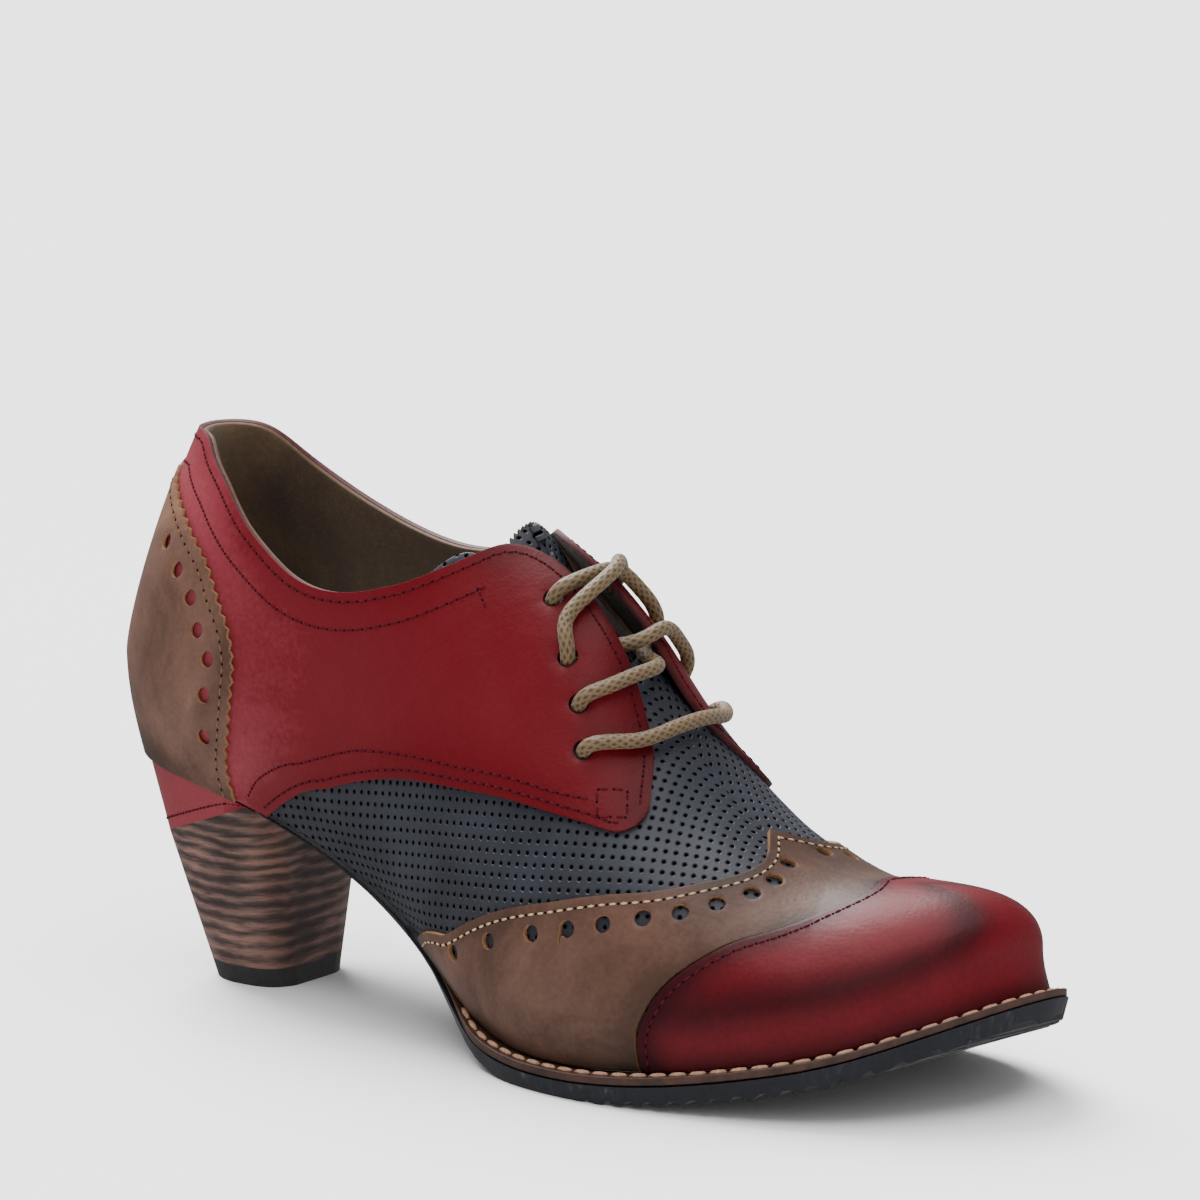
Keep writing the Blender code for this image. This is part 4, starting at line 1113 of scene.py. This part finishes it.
def make_counter(brown, edge, red):
    """The brown counter with its pinked edge and holes, and the red leather that shows through them."""
    start, end = Edge(0, PANEL_LOW), Edge(COUNTER_EDGE[-1].station, PANEL_LOW)
    low, high = straight_edge(start, end), smooth_edge(COUNTER_EDGE)
    inner = smooth_edge(shrunk(COUNTER_EDGE, COUNTER_CORE, COUNTER_CORE, PANEL_LOW))
    core = between(stretch(low, 0, COUNTER_CORE), inner)
    sides = [between(inner, pinked(high, side, PINK_PITCH, PINK_DEPTH)) for side in (-1, 1)]
    cut_leather(
        "pinked_counter", [brown, brown, edge], [(core, core, 260, 44), (*sides, 260, 14)],
        level(COUNTER_FACE), COUNTER_WALL, ["counter"], counter_tone, COUNTER_HOLES,
        BROGUE_RADIUS,
    )
    under = between(low, smooth_edge(shrunk(COUNTER_EDGE, *UNDERLAY)))
    cut_leather(
        "counter_underlay", [red, red, red], [(under, under, 60, 16)], level(BACKING_FACE),
        BACKING_WALL,
    )


def make_wing(brown, edge):
    """The brown wing from the waist over the ball to its peak on the instep, with its row of holes."""
    high = smooth_edge(WING_EDGE)
    cap_side = smooth_edge(moved(CAP_EDGE, Edge(-CAP_APART, 0)))
    start, turn = WING_EDGE[0].station, CAP_EDGE[0].station - CAP_APART
    low = straight_edge(Edge(start, PANEL_LOW), Edge(turn, PANEL_LOW))
    side = between(low, stretch(high, 0, WING_TURN))
    top = between(cap_side, stretch(high, WING_TURN, 1))
    cut_leather(
        "brogued_wing", [brown, brown, edge], [(side, side, 56, 40), (top, top, 110, 40)],
        level(PANEL_FACE), PANEL_WALL, ["wing"], wing_tone, WING_HOLES, BROGUE_RADIUS,
    )


def make_cap(red, edge):
    """The polished toe cap."""
    start, middle, end = CAP_EDGE[0].station, CAP_EDGE[-1].station, 1
    side = between(straight_edge(Edge(start, PANEL_LOW), Edge(middle, PANEL_LOW)), smooth_edge(CAP_EDGE))
    tip = between(
        straight_edge(Edge(middle, PANEL_LOW), Edge(end, PANEL_LOW)),
        straight_edge(CAP_EDGE[-1], Edge(end, 1)),
    )
    strips = [(side, side, 110, 46), (tip, tip, 60, 46)]
    cut_leather(
        "toe_cap_leather", [red, red, edge], strips, level(TOP_FACE), TOP_WALL,
        ["toe_cap"], cap_tone,
    )


def make_tongue(black, edge):
    """The tongue, with the teeth of its upper end."""
    start, end = TONGUE_SIDE[0].station, TONGUE_SIDE[-1].station

    def teeth(up):
        return TONGUE_TOOTH * (2 * np.abs((up * 2 * TONGUE_TEETH) % 2 - 1) - 1)

    plain = between(smooth_edge(TONGUE_SIDE), straight_edge(Edge(start, 1), Edge(end, 1)))

    def edges(along, up):
        where = plain(along, up)
        where[:, 0] += teeth(up) * np.clip(1 - along * TONGUE_FADE, 0, 1)
        return where

    def face(station, rise):
        upper_end = 1 - ease(np.abs(station), start, TONGUE_RISEN)
        return TONGUE_PIECE_FACE + (TONGUE_TOP_FACE - TONGUE_FACE) * upper_end

    cut_leather(
        "tongue_leather", [black, black, edge], [(edges, edges, 80, 56)], face, TONGUE_PIECE_WALL,
        ["tongue"],
    )


def end_in_hole(run, last):
    """The same run with its end carried over the lip of its eyelet and down through it."""
    run = list(reversed(run)) if last else list(run)
    hole, after = run[0], run[1]
    if IN_HOLE[0] < hole.over < IN_HOLE[1]:
        station = hole.station + (after.station - hole.station) * LIP_PART
        rise = hole.rise + (after.rise - hole.rise) * LIP_PART
        down = [hole._replace(over=over) for over in DOWN_HOLE]
        run = [*down, LacePoint(station, rise, LIP_OVER)] + run[1:]
    return list(reversed(run)) if last else run


def braid_run(bm, run, burnish_and_painted_light):
    """One run of round braid: two families of strands cross over each other around it."""
    station, rise, over = np.array(end_in_hole(end_in_hole(run, False), True)).T
    points = skin(station, rise, facing_face(station, rise) + over * MM)
    reach = np.r_[0, np.cumsum(np.linalg.norm(np.diff(points, axis=0), axis=1))]
    columns = int(reach[-1] / BRAID_STEP)
    even = np.linspace(0, reach[-1], columns + 1)
    line = np.stack([spline(reach, points[:, axis])(even) for axis in range(3)], -1)
    length = np.r_[0, np.cumsum(np.linalg.norm(np.diff(line, axis=0), axis=1))]
    way = np.gradient(line, axis=0)
    way /= np.linalg.norm(way, axis=1, keepdims=True)
    across = [np.cross(way[0], (0, 0, 1.0))]
    for step in way[1:]:
        across.append(across[-1] - step * (across[-1] @ step))
    across = np.array(across)
    across /= np.linalg.norm(across, axis=1, keepdims=True)
    up = np.cross(way, across)
    grid, faces, along, around = add_grid(bm, columns, BRAID_SIDES)
    at = np.rint(along * columns).astype(int)
    angle = around * 2 * math.pi
    twist = length[at] * 2 * math.pi / BRAID_PITCH
    strands = np.maximum(np.sin(BRAID_STRANDS * angle + twist), np.sin(BRAID_STRANDS * angle - twist))
    radius = LACE_RADIUS - STRAND_HEIGHT + STRAND_HEIGHT * strands
    ring = across[at] * np.cos(angle)[:, None] + up[at] * np.sin(angle)[:, None]
    # Each vertex keeps how high its strand stands, and the braid's finish paints the low grooves between
    # strands darker, as shade
    for vert, point, strand in zip(grid, line[at] + ring * radius[:, None], strands):
        vert.co = point
        vert[burnish_and_painted_light] = strand * 0.35 + 0.35


def make_lace(braid):
    """The lace from eyelet to eyelet, held all the way."""
    for name, runs, node in (
        ("lace_lowest_bar", (LOWEST_BAR,), "lace_bar"),
        ("lace_third_from_outer", (THIRD_FROM_OUTER,), "lace_third_outer"),
        ("lace_third_from_inner", (THIRD_FROM_INNER,), "lace_third_inner"),
        ("lace_top_runs", (TOP_UNDER, TOP_OVER), "lace_top_crossing"),
    ):
        bm = bmesh.new()
        burnish_and_painted_light = bm.verts.layers.float.new("burnish_and_painted_light")
        for run in runs:
            braid_run(bm, run, burnish_and_painted_light)
        bmesh.ops.remove_doubles(bm, verts=bm.verts, dist=WELD)
        bmesh.ops.holes_fill(bm, edges=[edge for edge in bm.edges if edge.is_boundary])
        bmesh.ops.recalc_face_normals(bm, faces=bm.faces)
        new_piece(name, bm, [braid], [node])


def sew_all(red, tan, cream, hole_shade):
    """Every row of stitching that shows."""
    collars = ((-1, COLLAR_OUTER), (1, COLLAR_INNER))
    fronts = {side: smooth_edge(collar + FACING_EDGE) for side, collar in collars}
    lower = smooth_edge(QUARTER_LOWER_EDGE)
    first = {side: stepped(line, side, -COLLAR_ROW) for side, line in fronts.items()}
    second = {side: stepped(line, side, -SECOND_COLLAR_ROW) for side, line in fronts.items()}

    def both(line, by):
        return {side: stepped(line, side, by) for side in (-1, 1)}

    sewn(
        "quarter_stitches",
        [
            dict(line=first, face=facing_face),
            dict(line=second, face=facing_face, end=0.685),
            dict(line=both(lower, LOWER_ROW), face=facing_face, start=0.02, end=0.97),
            dict(line=smooth_edge(SECOND_ROW), face=facing_face),
            dict(line=straight_edge(*BAR_TACK), face=facing_face),
        ]
        + [
            dict(line=straight_edge(BOX_TACK[corner - 1], BOX_TACK[corner]), face=facing_face)
            for corner in range(len(BOX_TACK))
        ],
        red,
        hole_shade,
    )
    for name, line, by, face, start, finish, slot in (
        ("counter_stitches", COUNTER_EDGE, COUNTER_ROW, COUNTER_FACE, 0.0, tan, "wing_leather"),
        ("wing_stitches", WING_EDGE, WING_ROW, PANEL_FACE, 0.02, cream, "wing_leather"),
        ("cap_stitches", CAP_EDGE, CAP_ROW, TOP_FACE, 0.02, red, "cap_leather"),
    ):
        row = dict(line=both(smooth_edge(line), -by), face=level(face), start=start)
        sewn(name, [row], finish, hole_shade)


def make_sole(rubber, strip, suede, thread):
    """The insole, the welt with its thick stitches, and the rubber sole with its tread."""

    def insole_face(lift):
        def place(along, across):
            station = INSOLE_START + (1 - INSOLE_START) * along
            outer, inner = outline(-station, -INSOLE_IN), outline(station, -INSOLE_IN)
            plan = outer + (inner - outer) * across[:, None]
            return np.column_stack([plan, sole_height(plan[:, 0], plan[:, 1]) + lift])

        return place

    low, high = insole_face(0), insole_face(INSOLE_WALL)
    mould("insole_lining", suede, low, high, 90, 16, ["insole"], 0.4 * MM)
    start = math.acos(1 - 2 * SOLE_BACK / LAST_LENGTH) / math.pi

    def sole_face(drop, taper, tread):
        def place(along, across):
            station = start + (1 - start) * along
            out = sole_out(station_x(station)) - taper
            outer, inner = outline(-station, out), outline(station, out)
            plan = outer + (inner - outer) * across[:, None]
            x, y = plan.T
            height = np.maximum(sole_height(x, y) - drop(station, x - BALL_SKEW * y), 0)
            notch = ease(np.sin(x * 2 * math.pi / TREAD_PITCH), 0.1, 0.6) * ease(x, *TREAD_START)
            return np.column_stack([plan, height + tread * notch])

        return place

    def top(station, x):
        return 2 * GAP + welt_wall(station) * (ease(station, WELT_START - 0.03, WELT_START) > 0)

    bottom = sole_face(lambda station, x: sole_bottom(x), SOLE_TAPER, TREAD_DEPTH)
    mould("rubber_sole", rubber, bottom, sole_face(top, 0, 0), 260, 14, ["outsole"], 0.5 * MM)

    def welt_at(part, walls, across):
        station = np.sign(part + 1e-9) * (1 - np.abs(part) * (1 - WELT_START))
        taper = ease(np.abs(station), WELT_START, WELT_FULL)
        plan = outline(station, -WELT_IN + (WELT_OUT * taper + WELT_IN) * across)
        drop = GAP + welt_wall(station) * walls
        return np.column_stack([plan, sole_height(plan[:, 0], plan[:, 1]) - drop])

    def welt_face(walls):
        return lambda along, across: welt_at(2 * along - 1, walls, across)

    mould("leather_welt", strip, welt_face(1), welt_face(0), 240, 6, ["welt"], 0.35 * MM)
    # The row stops short of both ends of the welt
    part = np.linspace(-1, 1, 700)[20:-20]
    row = welt_at(part, 0, WELT_ROW) + (0, 0, 0.15 * MM)
    bm = bmesh.new()
    sew(bm, row, row + (0, 0, MM), WELT_THREAD)
    new_piece("welt_stitches", bm, [thread])


def welt_wall(station):
    """Thickness of the welt."""
    return WELT_START_WALL + (WELT_WALL - WELT_START_WALL) * ease(np.abs(station), WELT_START, WELT_FULL)


def band_height(x):
    """Height of the lower edge of the heel cover."""
    return BAND_LOW + BAND_SLOPE * x


def make_heel(cover, stack, rubber, thread, hole_shade):
    """The stacked block under the leather band, and the rubber tip that it stands on."""

    def on(height_at):
        return lambda along, across: heel_plan(along, 2 * across - 1, height_at)

    def flat(height):
        return on(lambda x: np.full(np.shape(x), height))

    def seat(along, across):
        x = BAND_FRONT * (1 - np.cos(math.pi * along)) / 2
        y = (2 * across - 1) * (section_half(x) + BAND_OUT) * end_rounding(x)
        return np.stack([x, y, sole_height(x, y) - GAP], -1)

    def block_top(x):
        return band_height(x) + LAP

    for name, finish, low, high, slot, node, corner in (
        ("heel_cover", cover, on(band_height), seat, "band_leather", "heel_band", 0.3 * MM),
        ("heel_lifts", stack, flat(TIP_WALL - LAP), on(block_top), "heel_stack", "heel", 0.3 * MM),
        ("heel_top_piece", rubber, flat(0.0), flat(TIP_WALL), "tip_rubber", "heel_tip", 0.5 * MM),
    ):
        mould(name, finish, low, high, 60, 24, [node], corner, 60)
    along = np.linspace(0.93, 0.0, 300)
    rows = []
    for side in (0.0, 1.0):
        across = np.full(len(along), side)
        foot, head = on(band_height)(along, across), seat(along, across)
        tall = np.linalg.norm(head - foot, axis=1, keepdims=True)
        rows.append((foot + (head - foot) * COVER_ROW / tall)[tall[:, 0] > COVER_LEAST])
    row = np.concatenate([rows[0], rows[1][::-1]])
    out = (row - (HEEL_MIDDLE, 0, 0)) * (1, 1, 0)
    out /= np.linalg.norm(out, axis=1, keepdims=True)
    bm, needle = bmesh.new(), bmesh.new()
    sew(bm, row + out * STITCH_LIFT, row + out * 2 * MM, FINE_THREAD, needle)
    new_piece("heel_cover_stitches", bm, [thread])
    new_piece("heel_cover_stitches_pricks", needle, [hole_shade])


def set_stage():
    """A pale floor, soft light from the upper left and behind, and the camera of the photograph."""
    bm = bmesh.new()
    bmesh.ops.create_grid(bm, x_segments=2, y_segments=2, size=12.0)
    # Matt backdrop paper, rolled out under the shoe: nearly white, with the faintest unevenness
    finish, tree, shader = new_finish("pale_studio_paper", Roughness=0.95)
    cloud = noise(tree, add(tree, "TexCoord").outputs["Object"], 2.0, 1.0)
    coloured(tree, shader, cloud, ((0.3, FLOOR_LOW), (0.7, FLOOR_HIGH)))
    floor = from_bmesh("studio_floor", bm, [finish])
    # The paper is flagged off, so that it doesn't shine in the polish of the leather
    floor.visible_glossy = False
    world = bpy.data.worlds.new("studio_air")
    world.use_nodes = True
    air = world.node_tree.nodes["Background"]
    air.inputs["Color"].default_value = (1.0, 1.0, 1.0, 1.0)
    air.inputs["Strength"].default_value = AIR_LIGHT
    bpy.context.scene.world = world
    for name, toward, power, spread in SOFT_LIGHTS:
        lamp = bpy.data.lights.new(name, "SUN")
        lamp.energy = power
        lamp.angle = math.radians(spread)
        placed(name, lamp).rotation_euler = Vector(toward).to_track_quat("Z", "Y").to_euler()
    azimuth, elevation, roll = (math.radians(angle) for angle in VIEW_ANGLES)
    flat = math.cos(elevation)
    back = np.array([math.sin(azimuth) * flat, -math.cos(azimuth) * flat, math.sin(elevation)])
    right = np.array([math.cos(azimuth), math.sin(azimuth), 0])
    up = np.cross(back, right)
    right, up = right * math.cos(roll) + up * math.sin(roll), up * math.cos(roll) - right * math.sin(roll)
    lens = bpy.data.cameras.new("photograph")
    lens.sensor_width = SENSOR
    lens.lens = SENSOR * VIEW_FOCAL
    lens.clip_end = 50
    camera = placed("photograph", lens)
    camera.matrix_world = Matrix((right, up, back)).transposed().to_4x4()
    camera.location = np.array(VIEW_TARGET) * MM + back * VIEW_DISTANCE - (CENTRE_X, CENTRE_Y, 0)
    bpy.context.scene.camera = camera


def dress_shoe():
    """Every finish that the pieces share, then the pieces, then the studio."""
    red, brown, black = red_quarter_leather(), brown_wing_leather(), punched_black_leather()
    suede = brown_suede()
    # Cut edges: calf shows its tan flesh where the dye stopped, matt and fibrous, and red hide is inked dark
    tan_edge = plain_finish("cut_tan_edge", "472f1c", "573f29", 0.7, 500.0, 0.1 * MM)
    red_edge = plain_finish("inked_red_edge", "36070d", "4e1018", 0.6, 500.0, 0.1 * MM)
    brown_edge = plain_finish("cut_brown_edge", "724e31", "8a623d", 0.7, 500.0, 0.1 * MM)
    # Linen thread, twisted, waxed and pulled tight: a matt row of small beads
    red_thread = matt_finish("burgundy_thread", "38040f", "520a1a", 1500.0)
    tan_thread = matt_finish("tan_thread", "4f3a26", "6b5238", 1500.0)
    cream_thread = matt_finish("cream_thread", "8d7a5e", "ab9878", 1500.0)
    # Flax cord of the welt, in long stitches that nearly touch: pale, matt and a little hairy
    cord = matt_finish("welt_flax_cord", "8a6650", "b3907a", 1200.0, 0.15 * MM)
    # Needle holes: dark beads that paint the shade inside each hole over its torn flesh, and take no shine
    dull = dict(Specular_IOR_Level=0.05)
    hole_shade = plain_finish("needle_hole_painted_shade", "170306", "26070b", 0.95, 900.0, 0.05 * MM, **dull)
    # Welting: a strip of bridle leather dyed dark red-brown, with a low sheen along its rounded edge
    strip = plain_finish("dark_welting", "2c1a12", "46291c", 0.5, 260.0, 0.12 * MM)
    # Hard rubber of the heel's top piece, moulded and cut: near black and satin
    tip = plain_finish("hard_tip_rubber", "171718", "212123", 0.55, 900.0, 0.1 * MM)
    make_vamp(black, suede, tan_edge)
    make_quarters(red, suede, red_edge)
    make_counter(brown, brown_edge, red)
    make_wing(brown, brown_edge)
    make_cap(red_cap_leather(), red_edge)
    make_tongue(black, red_edge)
    make_lace(waxed_braid())
    make_sole(scuffed_rubber(), strip, suede, cord)
    make_heel(red_cover_leather(), stacked_lifts(), tip, red_thread, hole_shade)
    sew_all(red_thread, tan_thread, cream_thread, hole_shade)
    set_stage()


dress_shoe()
